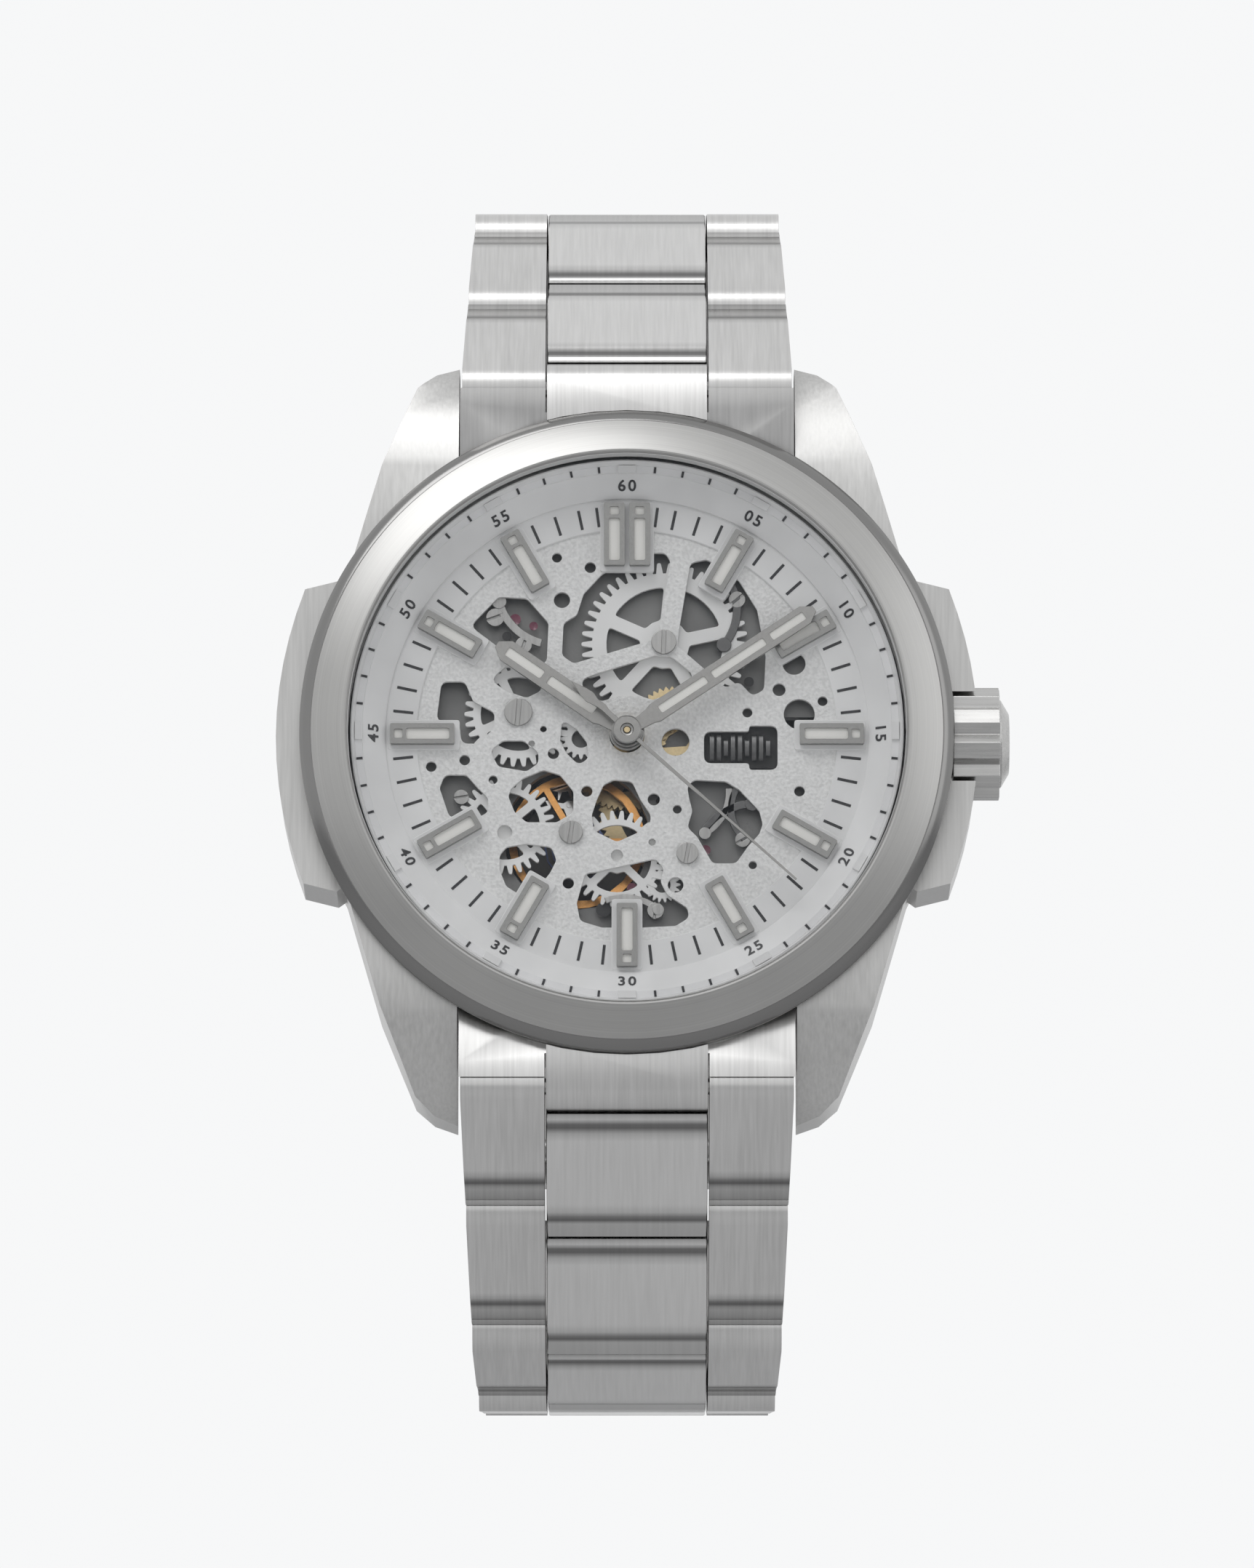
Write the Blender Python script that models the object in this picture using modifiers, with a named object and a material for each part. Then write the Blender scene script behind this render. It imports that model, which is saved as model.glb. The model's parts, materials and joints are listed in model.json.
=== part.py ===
"""A skeleton wristwatch with a self-winding movement, three hands, a screw bezel and a closed
three-row steel bracelet with a folding clasp.

It is modelled in millimetres in the watch's own axes: x to 3 o'clock, y to 12 o'clock and z out of
the dial. One parent empty scales that to metres and stands the watch up, with the dial facing -Y.
The origin is the middle of the case back's outer face.
"""

import math

import bmesh
import bpy
from mathutils import Matrix, Vector

# ---- Driving dimensions, in millimetres -------------------------------------------------------
CASE_RADIUS = 19.2          # the round middle of the case
CASE_BOTTOM, CASE_TOP = 1.0, 8.5
BORE_RADIUS = 16.65         # bore of the case, which holds movement, dial and rehaut
LUG_WIDTH = 20.2            # between the inner faces of the lugs
LUG_THICK = 2.5
LUG_REACH = CASE_RADIUS + 4.0       # from the middle to a lug's tip
GUARD_REACH = CASE_RADIUS + 1.8     # from the middle to the crown guard's outer face
GUARD_HALF = 9.0            # half the length of a guard
GUARD_BOTTOM, GUARD_TOP = 2.4, 7.4

FIT = 0.1                   # between two pieces that seat on each other
RUN = 0.06                  # round a turning arbor or pin

BEZEL_RADIUS = CASE_RADIUS + 0.35
BEZEL_BORE = BORE_RADIUS + 0.05
BEZEL_TOP = 10.6
BEZEL_SLOPE_RADIUS, BEZEL_SLOPE_BASE = BEZEL_RADIUS - 0.69, 9.75
CRYSTAL_THICK = 1.4
CRYSTAL_BASE = 9.5
GASKET_WALL = 0.3

DIAL_BASE, DIAL_THICK = 7.2, 0.35
DIAL_RADIUS = 15.2
REHAUT_INNER, REHAUT_BREAK = 14.45, 15.8

CROWN_RADIUS, CROWN_LENGTH, CROWN_DOME = 3.4, 2.8, 0.6
CROWN_RIDGES = 10
STEM_RADIUS, STEM_HEIGHT = 0.6, 5.0
STEM_INNER_END = 9.9
CLUTCH_RADIUS, WINDING_RADIUS = STEM_RADIUS + 0.35, STEM_RADIUS + 0.55   # pitch radii
TUBE_RADIUS, TUBE_BORE = 1.9, 1.3

BACK_GLASS_RADIUS, BACK_GLASS_THICK = 13.3, 1.2
BACK_RING_RADIUS = 17.6
BACK_NOTCHES = 6

PLATE_RADIUS = 12.9         # the movement
PLATE_BASE, PLATE_TOP = 5.5, 6.3
BRIDGE_BASE, BRIDGE_TOP = 2.2, 2.85
ROTOR_RADIUS = 12.4
ARBOR_RADIUS = 0.18

LINKS = 6                   # on each side of the case
LINK_PITCH = 8.9
LINK_THICK = 3.0
LINK_TAPER = 0.6            # each link is narrower than the one before by this
LINK_WIDTHS = [LUG_WIDTH - 0.4 - LINK_TAPER * i for i in range(LINKS)]
LINK_SLOPES = (43.3, 47.0, 76.0, 97.0, 124.0, 152.0)   # degrees below the dial plane
CENTRE_WIDTH = 9.6
PIN_RADIUS = 0.5
KNUCKLE = 1.55              # round end of a link about its pin
FIRST_PIN = (CASE_RADIUS + 2.1, 7.46)   # y, z of the pin that joins the end link and the first link

CLASP_WIDTH = LINK_WIDTHS[-1] - 0.4
CLASP_WALL = 0.9
CLASP_TURN = 17.0           # half the angle that the curved clasp spans, in degrees

STEEL = (0.62, 0.61, 0.59)
GREY_STEEL = (0.42, 0.43, 0.45)
BRASS = (0.72, 0.56, 0.30)

# ---- The scene ---------------------------------------------------------------------------------
for old in list(bpy.data.objects):
    bpy.data.objects.remove(old, do_unlink=True)
parts = bpy.data.collections.new("skeleton_wristwatch")
cutters = bpy.data.collections.new("cutters")
cutters.hide_render = True
bpy.context.scene.collection.children.link(parts)
bpy.context.scene.collection.children.link(cutters)
watch = bpy.data.objects.new("watch_axes", None)
watch.rotation_euler = (math.radians(90), 0, 0)
watch.scale = (0.001, 0.001, 0.001)
parts.objects.link(watch)


# ---- Making solids -----------------------------------------------------------------------------
def material(name, colour, roughness=0.35, metallic=1.0, alpha=1.0):
    made = bpy.data.materials.new(name)
    made.use_nodes = True
    shader = made.node_tree.nodes["Principled BSDF"]
    shader.inputs["Base Color"].default_value = (*colour, 1)
    shader.inputs["Roughness"].default_value = roughness
    shader.inputs["Metallic"].default_value = metallic
    shader.inputs["Alpha"].default_value = alpha
    return made


def add(name, mesh, colour=None, place=(0, 0, 0), turn=(0, 0, 0), **finish):
    """A named part at its place, or a cutter or other helper where it has no colour."""
    obj = bpy.data.objects.new(name, mesh)
    obj.location = place
    obj.rotation_euler = turn
    obj.parent = watch
    if colour is None:
        cutters.objects.link(obj)
        obj.hide_render = True
        obj.display_type = "WIRE"
    else:
        parts.objects.link(obj)
        mesh.materials.clear()
        mesh.materials.append(material(name, colour, **finish))
    return obj


def mesh_of(build):
    """A mesh from a function that fills a bmesh."""
    grid = bmesh.new()
    build(grid)
    bmesh.ops.recalc_face_normals(grid, faces=grid.faces)
    mesh = bpy.data.meshes.new("shape")
    grid.to_mesh(mesh)
    grid.free()
    return mesh


def disc(radius, base, top, sides=32, place=(0, 0)):
    """A cylinder along z."""
    def build(grid):
        at = Matrix.Translation((*place, (base + top) / 2))
        bmesh.ops.create_cone(
            grid, cap_ends=True, segments=sides, radius1=radius, radius2=radius,
            depth=top - base, matrix=at,
        )
    return mesh_of(build)


def rod(radius, start, end, sides=16, offset=(0, 0)):
    """A cylinder along x, from start to end, offset in y and z."""
    def build(grid):
        at = Matrix.Translation(((start + end) / 2, *offset)) @ Matrix.Rotation(math.radians(90), 4, "Y")
        bmesh.ops.create_cone(
            grid, cap_ends=True, segments=sides, radius1=radius, radius2=radius,
            depth=end - start, matrix=at,
        )
    return mesh_of(build)


def block(low, high):
    """A box between two corners."""
    def build(grid):
        size = [b - a for a, b in zip(low, high)]
        middle = [(a + b) / 2 for a, b in zip(low, high)]
        bmesh.ops.create_cube(
            grid, size=1, matrix=Matrix.Translation(middle) @ Matrix.Diagonal((*size, 1))
        )
    return mesh_of(build)


def flat(outlines, base, top, across=False):
    """A plate with the first outline as its edge and the others as its holes, along z or, across, along x."""
    curve = bpy.data.curves.new("outline", "CURVE")
    curve.dimensions = "2D"
    curve.fill_mode = "BOTH"
    curve.extrude = (top - base) / 2
    for points in outlines:
        spline = curve.splines.new("POLY")
        spline.points.add(len(points) - 1)
        spline.use_cyclic_u = True
        for point, (x, y) in zip(spline.points, points):
            point.co = (x, y, 0, 1)
    helper = bpy.data.objects.new("outline", curve)
    bpy.context.scene.collection.objects.link(helper)
    bpy.context.view_layer.update()
    drawn = bpy.data.meshes.new_from_object(
        helper.evaluated_get(bpy.context.evaluated_depsgraph_get())
    )
    bpy.data.objects.remove(helper, do_unlink=True)
    grid = bmesh.new()
    grid.from_mesh(drawn)
    bpy.data.meshes.remove(drawn)
    bmesh.ops.remove_doubles(grid, verts=grid.verts, dist=1e-4)
    bmesh.ops.recalc_face_normals(grid, faces=grid.faces)
    bmesh.ops.translate(grid, verts=grid.verts, vec=(0, 0, (base + top) / 2))
    if across:
        # (x, y, z) becomes (z, x, y): the outline's axes turn into y and z.
        turn = Matrix(((0, 0, 1), (1, 0, 0), (0, 1, 0)))
        bmesh.ops.transform(grid, verts=grid.verts, matrix=turn.to_4x4())
    mesh = bpy.data.meshes.new("plate")
    grid.to_mesh(mesh)
    grid.free()
    return mesh


def lathe(name, profile, colour=None, steps=48, **where):
    """A turned part or cutter: a closed (radius, z) profile with a Screw modifier."""
    area = sum(a[0] * b[1] - b[0] * a[1] for a, b in zip(profile, profile[1:] + profile[:1]))
    if area < 0:
        profile = profile[::-1]
    count = len(profile)
    mesh = bpy.data.meshes.new("profile")
    mesh.from_pydata(
        [(r, 0, z) for r, z in profile], [(i, (i + 1) % count) for i in range(count)], []
    )
    obj = add(name, mesh, colour, **where)
    made = obj.modifiers.new("turn", "SCREW")
    made.axis = "Z"
    made.angle = math.tau
    made.steps = made.render_steps = steps
    made.use_merge_vertices = True
    made.merge_threshold = 1e-4
    made.use_normal_flip = True
    return obj


def combine(obj, other, operation="DIFFERENCE"):
    """Cuts another object from this one, or joins it to this one; the other stays among the cutters."""
    made = obj.modifiers.new(operation.lower(), "BOOLEAN")
    made.operation = operation
    made.solver = "EXACT"
    made.object = other
    return obj


def join(obj, mesh, **where):
    return combine(obj, add(obj.name + "_joined", mesh, **where), "UNION")


def cut(obj, mesh, **where):
    return combine(obj, add(obj.name + "_cut", mesh, **where), "DIFFERENCE")


def circle(radius, sides=24, x=0.0, y=0.0):
    return [
        (x + radius * math.cos(math.tau * i / sides), y + radius * math.sin(math.tau * i / sides))
        for i in range(sides)
    ]


def arc(radius, start, end, count, x=0.0, y=0.0):
    """Points on a circle from one angle to another, in degrees."""
    angles = [math.radians(start + (end - start) * i / (count - 1)) for i in range(count)]
    return [(x + radius * math.cos(a), y + radius * math.sin(a)) for a in angles]


def gear_outline(pitch_radius, teeth, phase=0.0):
    """Flat-topped teeth, three points each, from the pitch radius and the tooth count."""
    module = 2 * pitch_radius / teeth
    tip, root = pitch_radius + 0.75 * module, pitch_radius - 1.2 * module
    points = []
    for i in range(teeth):
        middle = math.tau * (i + phase) / teeth
        for radius, step in ((tip, -0.09), (tip, 0.09), (root, 0.5)):
            a = middle + math.tau * step / teeth
            points.append((radius * math.cos(a), radius * math.sin(a)))
    return points


def spoke_windows(inner, outer, spokes, spoke_width, per_arc=4):
    """The openings between a wheel's spokes."""
    windows = []
    for i in range(spokes):
        start, end = 360 * i / spokes, 360 * (i + 1) / spokes
        half_in = math.degrees(math.asin(spoke_width / 2 / inner))
        half_out = math.degrees(math.asin(spoke_width / 2 / outer))
        windows.append(
            arc(outer, start + half_out, end - half_out, per_arc)
            + arc(inner, end - half_in, start + half_in, 2)
        )
    return windows


# ---- The case ------------------------------------------------------------------------------------
def case_outline():
    """The case seen from the front: four lugs with the end-link seats between them."""
    half = LUG_WIDTH / 2
    seat = math.degrees(math.acos(half / CASE_RADIUS))
    lug = [
        (half, LUG_REACH), (half + LUG_THICK * 0.55, LUG_REACH - 0.5),
        (half + LUG_THICK, LUG_REACH - 1.5), (half + LUG_THICK + 2.1, CASE_RADIUS - 2.7),
    ]
    side = math.degrees(math.acos(min(0.999, (half + LUG_THICK + 4.2) / CASE_RADIUS)))
    right = lug + arc(CASE_RADIUS, side, -side, 17) + [(x, -y) for x, y in lug[::-1]]
    bottom = arc(CASE_RADIUS, -seat, -180 + seat, 13)
    left = [(-x, -y) for x, y in right]
    top = [(-x, -y) for x, y in bottom]
    return right + bottom + left + top


def case_side():
    """The case seen from 3 o'clock: flat in the middle, with its lugs curving down to their tips."""
    reach = LUG_REACH + 1
    upper = [
        (CASE_RADIUS - 5.5, CASE_TOP), (CASE_RADIUS - 2.2, CASE_TOP - 0.35),
        (CASE_RADIUS + 0.6, CASE_TOP - 1.25), (LUG_REACH - 1.2, CASE_TOP - 2.4),
        (LUG_REACH, CASE_TOP - 3.8), (reach, CASE_TOP - 5.2),
    ]
    lower = [(reach, CASE_BOTTOM + 0.7), (CASE_RADIUS, CASE_BOTTOM)]
    right = upper + lower
    return right + [(-y, z) for y, z in right[::-1]]


def guard_outline():
    """A crown guard: a low bow that swells from one lug to the other."""
    inner = CASE_RADIUS - 1.6
    bow = [(GUARD_REACH, 0.0)]
    count = 7
    for i in range(1, count):
        y = GUARD_HALF * i / (count - 1)
        bow.append((GUARD_REACH - 1.7 * (y / GUARD_HALF) ** 2, y))
    upper = bow + [(CASE_RADIUS - 1.9, GUARD_HALF + 0.5), (inner - 1, GUARD_HALF)]
    return [(x, -y) for x, y in upper[:0:-1]] + upper


def make_case():
    case = add("mid_case", flat([case_outline()], CASE_BOTTOM, CASE_TOP), STEEL, roughness=0.3)
    side = flat([case_side()], -GUARD_REACH - 5, GUARD_REACH + 5, across=True)
    combine(case, add("case_side", side), "INTERSECT")
    for name, turn in (("right", 0), ("left", math.pi)):
        guard = flat([guard_outline()], GUARD_BOTTOM, GUARD_TOP)
        combine(case, add("guard_" + name, guard, turn=(0, 0, turn)), "UNION")
    cut(case, disc(BORE_RADIUS, CASE_BOTTOM - 1, CASE_TOP + 1, 48))
    recess = rod(CROWN_RADIUS + 0.25, CASE_RADIUS + FIT, GUARD_REACH + 3, 32)
    cut(case, recess, place=(0, 0, STEM_HEIGHT))
    hole = rod(TUBE_RADIUS + RUN, BORE_RADIUS - 2, GUARD_REACH, 20)
    cut(case, hole, place=(0, 0, STEM_HEIGHT))


def make_bezel_and_crystal():
    base = CASE_TOP + FIT
    seat_radius = BEZEL_BORE + GASKET_WALL
    gasket_top = BEZEL_TOP - 0.4
    lathe("bezel", [
        (seat_radius, base), (BEZEL_RADIUS - 0.3, base), (BEZEL_RADIUS, base + 0.2),
        (BEZEL_RADIUS, BEZEL_SLOPE_BASE - 0.6), (BEZEL_SLOPE_RADIUS, BEZEL_SLOPE_BASE),
        (BEZEL_BORE + 0.15, BEZEL_TOP), (BEZEL_BORE, BEZEL_TOP - 0.1),
        (BEZEL_BORE, gasket_top + 0.05), (seat_radius, gasket_top + 0.05),
    ], STEEL, 48, roughness=0.3)
    glass_radius = BEZEL_BORE - 0.06
    lathe("crystal", [
        (0, CRYSTAL_BASE), (glass_radius, CRYSTAL_BASE),
        (glass_radius, CRYSTAL_BASE + CRYSTAL_THICK - 0.2),
        (glass_radius - 0.25, CRYSTAL_BASE + CRYSTAL_THICK), (0, CRYSTAL_BASE + CRYSTAL_THICK),
    ], (0.9, 0.95, 1.0), 48, roughness=0.02, metallic=0, alpha=0.15)
    lathe("crystal_gasket", [
        (glass_radius + 0.04, CRYSTAL_BASE + 0.1), (seat_radius - 0.04, CRYSTAL_BASE + 0.1),
        (seat_radius - 0.04, gasket_top), (glass_radius + 0.04, gasket_top),
    ], (0.1, 0.1, 0.1), 48, roughness=0.6, metallic=0)


def make_case_back():
    ring_top = CASE_BOTTOM + 1.25
    inner = BACK_GLASS_RADIUS + 0.1
    lathe("caseback_ring", [
        (inner, 0.25), (inner + 0.25, 0.05), (BACK_RING_RADIUS - 1.2, 0.05),
        (BACK_RING_RADIUS, 0.55), (BACK_RING_RADIUS, CASE_BOTTOM - FIT),
        (BORE_RADIUS - FIT, CASE_BOTTOM - FIT), (BORE_RADIUS - FIT, ring_top), (inner, ring_top),
    ], STEEL, 40, roughness=0.35)
    ring = bpy.data.objects["caseback_ring"]
    for i in range(BACK_NOTCHES):
        notch = block((BACK_RING_RADIUS - 1.5, -1.1, -0.5), (BACK_RING_RADIUS + 1, 1.1, 0.45))
        cut(ring, notch, turn=(0, 0, math.tau * i / BACK_NOTCHES))
    lathe("caseback_glass", [
        (0, 0), (BACK_GLASS_RADIUS - 0.2, 0), (BACK_GLASS_RADIUS, 0.2),
        (BACK_GLASS_RADIUS, BACK_GLASS_THICK), (0, BACK_GLASS_THICK),
    ], (0.9, 0.95, 1.0), 48, roughness=0.02, metallic=0, alpha=0.15)


def make_crown():
    start = CASE_RADIUS + 0.3
    end = start + CROWN_LENGTH
    outline = []
    for i in range(CROWN_RIDGES):
        for radius, step in ((CROWN_RADIUS, -0.22), (CROWN_RADIUS, 0.22), (CROWN_RADIUS - 0.45, 0.5)):
            a = math.tau * (i + step) / CROWN_RIDGES
            outline.append((radius * math.cos(a), radius * math.sin(a)))
    crown = add("crown", flat([outline], start, end, across=True), STEEL, place=(0, 0, STEM_HEIGHT))
    dome = lathe("crown_dome", [
        (0, end - 0.5), (CROWN_RADIUS - 0.75, end - 0.5), (CROWN_RADIUS - 0.75, end + 0.1),
        (CROWN_RADIUS - 1.6, end + CROWN_DOME), (0, end + CROWN_DOME),
    ], None, 32, place=(0, 0, STEM_HEIGHT), turn=(0, math.radians(90), 0))
    combine(crown, dome, "UNION")
    socket = rod(TUBE_RADIUS + 0.35, start - 1, start + 1.9, 20)
    cut(crown, socket, place=(0, 0, STEM_HEIGHT))
    stem = add(
        "winding_stem", rod(STEM_RADIUS, STEM_INNER_END, start + 1.85, 12), GREY_STEEL,
        place=(0, 0, STEM_HEIGHT),
    )
    shoulder = rod(TUBE_BORE - RUN, CASE_RADIUS - 1.0, start + 0.4, 12)
    join(stem, shoulder, place=(0, 0, STEM_HEIGHT))
    lathe("crown_tube", [
        (TUBE_BORE, BORE_RADIUS + 0.2), (TUBE_RADIUS, BORE_RADIUS + 0.2),
        (TUBE_RADIUS, start + 1.6), (TUBE_BORE, start + 1.6),
    ], STEEL, 20, place=(0, 0, STEM_HEIGHT), turn=(0, math.radians(90), 0))


# ---- The dial, its rings and the hands -----------------------------------------------------------
SQUARE_WINDOW = [
    (4.6, -1.7), (7.3, -1.7), (7.3, -2.1), (9.0, -2.1), (9.0, 0.6), (7.3, 0.6), (7.3, 0.25), (4.6, 0.25),
]
LOWER_WINDOW = [
    (3.63, -3.13), (4.0, -2.7), (5.94, -2.76), (6.67, -3.26), (7.9, -4.62), (8.13, -5.37),
    (7.89, -6.0), (7.2, -6.8), (6.55, -7.8), (5.1, -7.8), (4.24, -6.24), (3.63, -5.62),
]
# The fixed openwork gears under the dial: x, y, tip radius, teeth.
DIAL_GEARS = {
    "dial_gear_12": (2.25, 5.68, 5.0, 46),
    "dial_gear_9": (-6.5, 1.4, 3.25, 30),
    "dial_gear_8": (-7.25, -5.45, 2.95, 30),
    "dial_gear_6": (-0.6, -7.43, 2.95, 30),
}
HAND_TIME = (10, 9, 22)


def clock_angle(turns):
    """The turn about z, in radians, of a hand drawn towards 12 o'clock."""
    return -math.tau * turns


def make_dial():
    gear_room = 0.25
    holes = [SQUARE_WINDOW, LOWER_WINDOW, circle(1.0, 20)]
    for name in ("dial_gear_12", "dial_gear_9"):
        x, y, tip, _ = DIAL_GEARS[name]
        holes.append(arc(tip + gear_room, 100, 260, 9, x, y) + arc(1.6, 250, 110, 5, x, y))
    x, y, tip, _ = DIAL_GEARS["dial_gear_12"]
    holes.append(arc(tip + gear_room, -65, 75, 9, x, y) + arc(1.6, 60, -50, 5, x, y))
    for name in ("dial_gear_8", "dial_gear_6"):
        x, y, tip, _ = DIAL_GEARS[name]
        holes.append(circle(tip - 0.4, 18, x, y))
    dial = flat([circle(DIAL_RADIUS, 56)] + holes, DIAL_BASE, DIAL_BASE + DIAL_THICK)
    add("dial_plate", dial, (0.82, 0.82, 0.8), roughness=0.6, metallic=0)
    for name, (x, y, tip, teeth) in DIAL_GEARS.items():
        pitch = tip / (1 + 1.7 / teeth)
        openings = spoke_windows(tip * 0.32, tip * 0.74, 6, tip * 0.09, 3)
        wheel = flat([gear_outline(pitch, teeth)] + openings, DIAL_BASE - 0.22, DIAL_BASE - 0.04)
        add(name, wheel, (0.85, 0.85, 0.83), place=(x, y, 0), roughness=0.5, metallic=0.2)


def make_rehaut():
    low = DIAL_BASE + DIAL_THICK + FIT
    lathe("rehaut_ring", [
        (REHAUT_INNER, low), (BORE_RADIUS - FIT, low), (BORE_RADIUS - FIT, CRYSTAL_BASE - FIT),
        (REHAUT_BREAK + 0.4, CRYSTAL_BASE - FIT), (REHAUT_BREAK, CRYSTAL_BASE - 0.75),
        (REHAUT_INNER, low + 0.35),
    ], (0.8, 0.8, 0.79), 48, roughness=0.5, metallic=0.3)


def hand_outline(length, width):
    """A bar hand drawn towards 12 o'clock, with a blunt tip and a round hub."""
    half = width / 2
    return [
        (half * 0.5, 1.0), (half, 1.9), (half, length - 0.75), (half * 0.35, length),
        (-half * 0.35, length), (-half, length - 0.75), (-half, 1.9), (-half * 0.5, 1.0),
    ] + arc(0.95, 125, 415, 12)


def make_hands():
    hours, minutes, seconds = HAND_TIME
    minute_turns = (minutes + seconds / 60) / 60
    hour_turns = (hours + minute_turns) / 12
    for name, length, width, bore, base, thick, turns in (
        ("hour_hand", 9.5, 1.35, 0.72, 8.15, 0.28, hour_turns),
        ("minute_hand", 13.5, 1.2, 0.48, 8.6, 0.28, minute_turns),
    ):
        outline = hand_outline(length, width)
        hand = flat([outline, circle(bore, 16)], base, base + thick)
        add(name, hand, (0.85, 0.85, 0.85), turn=(0, 0, clock_angle(turns)), roughness=0.2)
    needle = [
        (0.1, 0.6), (0.07, 13.57), (-0.07, 13.57), (-0.1, 0.6),
    ] + arc(0.6, 115, 262, 6) + [(-0.1, -2.4), (-0.3, -3.2), (0, -4.46), (0.3, -3.2), (0.1, -2.4)]
    needle += arc(0.6, 278, 425, 6)
    hand = flat([needle, circle(ARBOR_RADIUS + 0.03, 12)], 9.02, 9.22)
    add("seconds_hand", hand, (0.85, 0.85, 0.85), turn=(0, 0, clock_angle(seconds / 60)), roughness=0.2)


# ---- The movement --------------------------------------------------------------------------------
THIRD_REACH, ESCAPE_REACH, BARREL_REACH, MOTION_REACH = 4.3, 4.2, 6.11, 2.88
THIRD_ANGLE, ESCAPE_ANGLE, BARREL_ANGLE, MOTION_ANGLE = 300.0, 200.0, 68.4, 20.0
MESH_GAP = 0.05             # extra distance between meshing gears
TRAIN = {                   # teeth
    "barrel": 60, "centre_pinion": 10, "centre": 64, "third_pinion": 8, "third": 60,
    "fourth_pinion": 8, "fourth": 60, "escape_pinion": 6, "escape": 15,
    "cannon": 12, "minute": 36, "minute_pinion": 10, "hour": 40,
}
BALANCE_PLACE, BALANCE_RADIUS = (-3.0, -6.0), 4.1
PALLET_REACH = 2.3          # from the escape wheel to the pallet fork's pivot
PALLET_ARBOR = 0.15


def polar(reach, angle):
    return (reach * math.cos(math.radians(angle)), reach * math.sin(math.radians(angle)))


THIRD_PLACE = polar(THIRD_REACH, THIRD_ANGLE)
ESCAPE_PLACE = polar(ESCAPE_REACH, ESCAPE_ANGLE)
BARREL_PLACE = polar(BARREL_REACH, BARREL_ANGLE)
MINUTE_PLACE = polar(MOTION_REACH, MOTION_ANGLE)


def pitch_radius(reach, teeth, mate):
    """The pitch radius of a gear that meshes with a mate over this centre distance."""
    return (reach - MESH_GAP) * TRAIN[teeth] / (TRAIN[teeth] + TRAIN[mate])


def wheel(reach, teeth, mate, base, top, bore, spokes=3):
    radius = pitch_radius(reach, teeth, mate)
    root = radius * (1 - 2.3 / TRAIN[teeth])
    windows = spoke_windows(max(bore + 0.55, root * 0.3), root * 0.84, spokes, 0.45, 3)
    return flat([gear_outline(radius, TRAIN[teeth]), circle(bore, 12)] + windows, base, top)


def pinion(reach, teeth, mate, base, top, bore=0.0):
    outlines = [gear_outline(pitch_radius(reach, teeth, mate), TRAIN[teeth], 0.5)]
    if bore:
        outlines.append(circle(bore, 12))
    return flat(outlines, base, top)


def make_train():
    """Each wheel is drawn round its own arbor, so its object sits on its joint's axis."""
    sleeve, sleeve_bore = 0.42, ARBOR_RADIUS + RUN
    fourth = add(
        "fourth_wheel", wheel(ESCAPE_REACH, "fourth", "escape_pinion", 2.95, 3.15, 0.1), BRASS
    )
    join(fourth, pinion(THIRD_REACH, "fourth_pinion", "third", 3.1, 3.68))
    join(fourth, disc(ARBOR_RADIUS, 2.45, 9.26, 12))

    third = add(
        "third_wheel", wheel(THIRD_REACH, "third", "fourth_pinion", 3.4, 3.6, 0.1), BRASS,
        place=(*THIRD_PLACE, 0),
    )
    join(third, pinion(THIRD_REACH, "third_pinion", "centre", 3.55, 4.2), place=(*THIRD_PLACE, 0))
    join(third, disc(ARBOR_RADIUS, 2.45, 5.9, 12), place=(*THIRD_PLACE, 0))

    centre = add(
        "centre_wheel", wheel(THIRD_REACH, "centre", "third_pinion", 3.85, 4.05, sleeve_bore), BRASS
    )
    join(centre, pinion(BARREL_REACH, "centre_pinion", "barrel", 4.65, 5.15, sleeve_bore))
    join(centre, flat([circle(sleeve, 16), circle(sleeve_bore, 12)], 3.95, 8.8))

    escape = add(
        "escape_wheel", flat([escape_outline(), circle(0.1, 8)], 4.35, 4.5), GREY_STEEL,
        place=(*ESCAPE_PLACE, 0),
    )
    join(escape, pinion(ESCAPE_REACH, "escape_pinion", "fourth", 2.92, 3.3), place=(*ESCAPE_PLACE, 0))
    join(escape, disc(0.15, 2.45, 5.9, 12), place=(*ESCAPE_PLACE, 0))

    barrel_radius = pitch_radius(BARREL_REACH, "barrel", "centre_pinion")
    barrel = add(
        "mainspring_barrel",
        flat([gear_outline(barrel_radius, TRAIN["barrel"]), circle(0.9, 16)], 4.8, 5.0), BRASS,
        place=(*BARREL_PLACE, 0),
    )
    drum = flat([circle(barrel_radius - 0.6, 28), circle(0.9, 16)], 4.25, 5.35)
    join(barrel, drum, place=(*BARREL_PLACE, 0))
    arbor = add("barrel_arbor", disc(0.9 - RUN, 3.0, 5.44, 16), GREY_STEEL, place=(*BARREL_PLACE, 0))
    join(arbor, disc(0.45, 1.85, 3.2, 12), place=(*BARREL_PLACE, 0))


def escape_outline():
    """Fifteen hooked teeth."""
    points = []
    for i in range(TRAIN["escape"]):
        middle = math.tau * i / TRAIN["escape"]
        for radius, step in ((1.9, 0.0), (1.88, 0.1), (1.4, 0.32), (1.4, 0.95)):
            a = middle + math.tau * step / TRAIN["escape"]
            points.append((radius * math.cos(a), radius * math.sin(a)))
    return points


def pallet_line():
    """The pallet fork's pivot, and the direction from the escape wheel to the balance."""
    along = (Vector(BALANCE_PLACE) - Vector(ESCAPE_PLACE)).normalized()
    return Vector(ESCAPE_PLACE) + along * PALLET_REACH, math.atan2(along.y, along.x)


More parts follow.
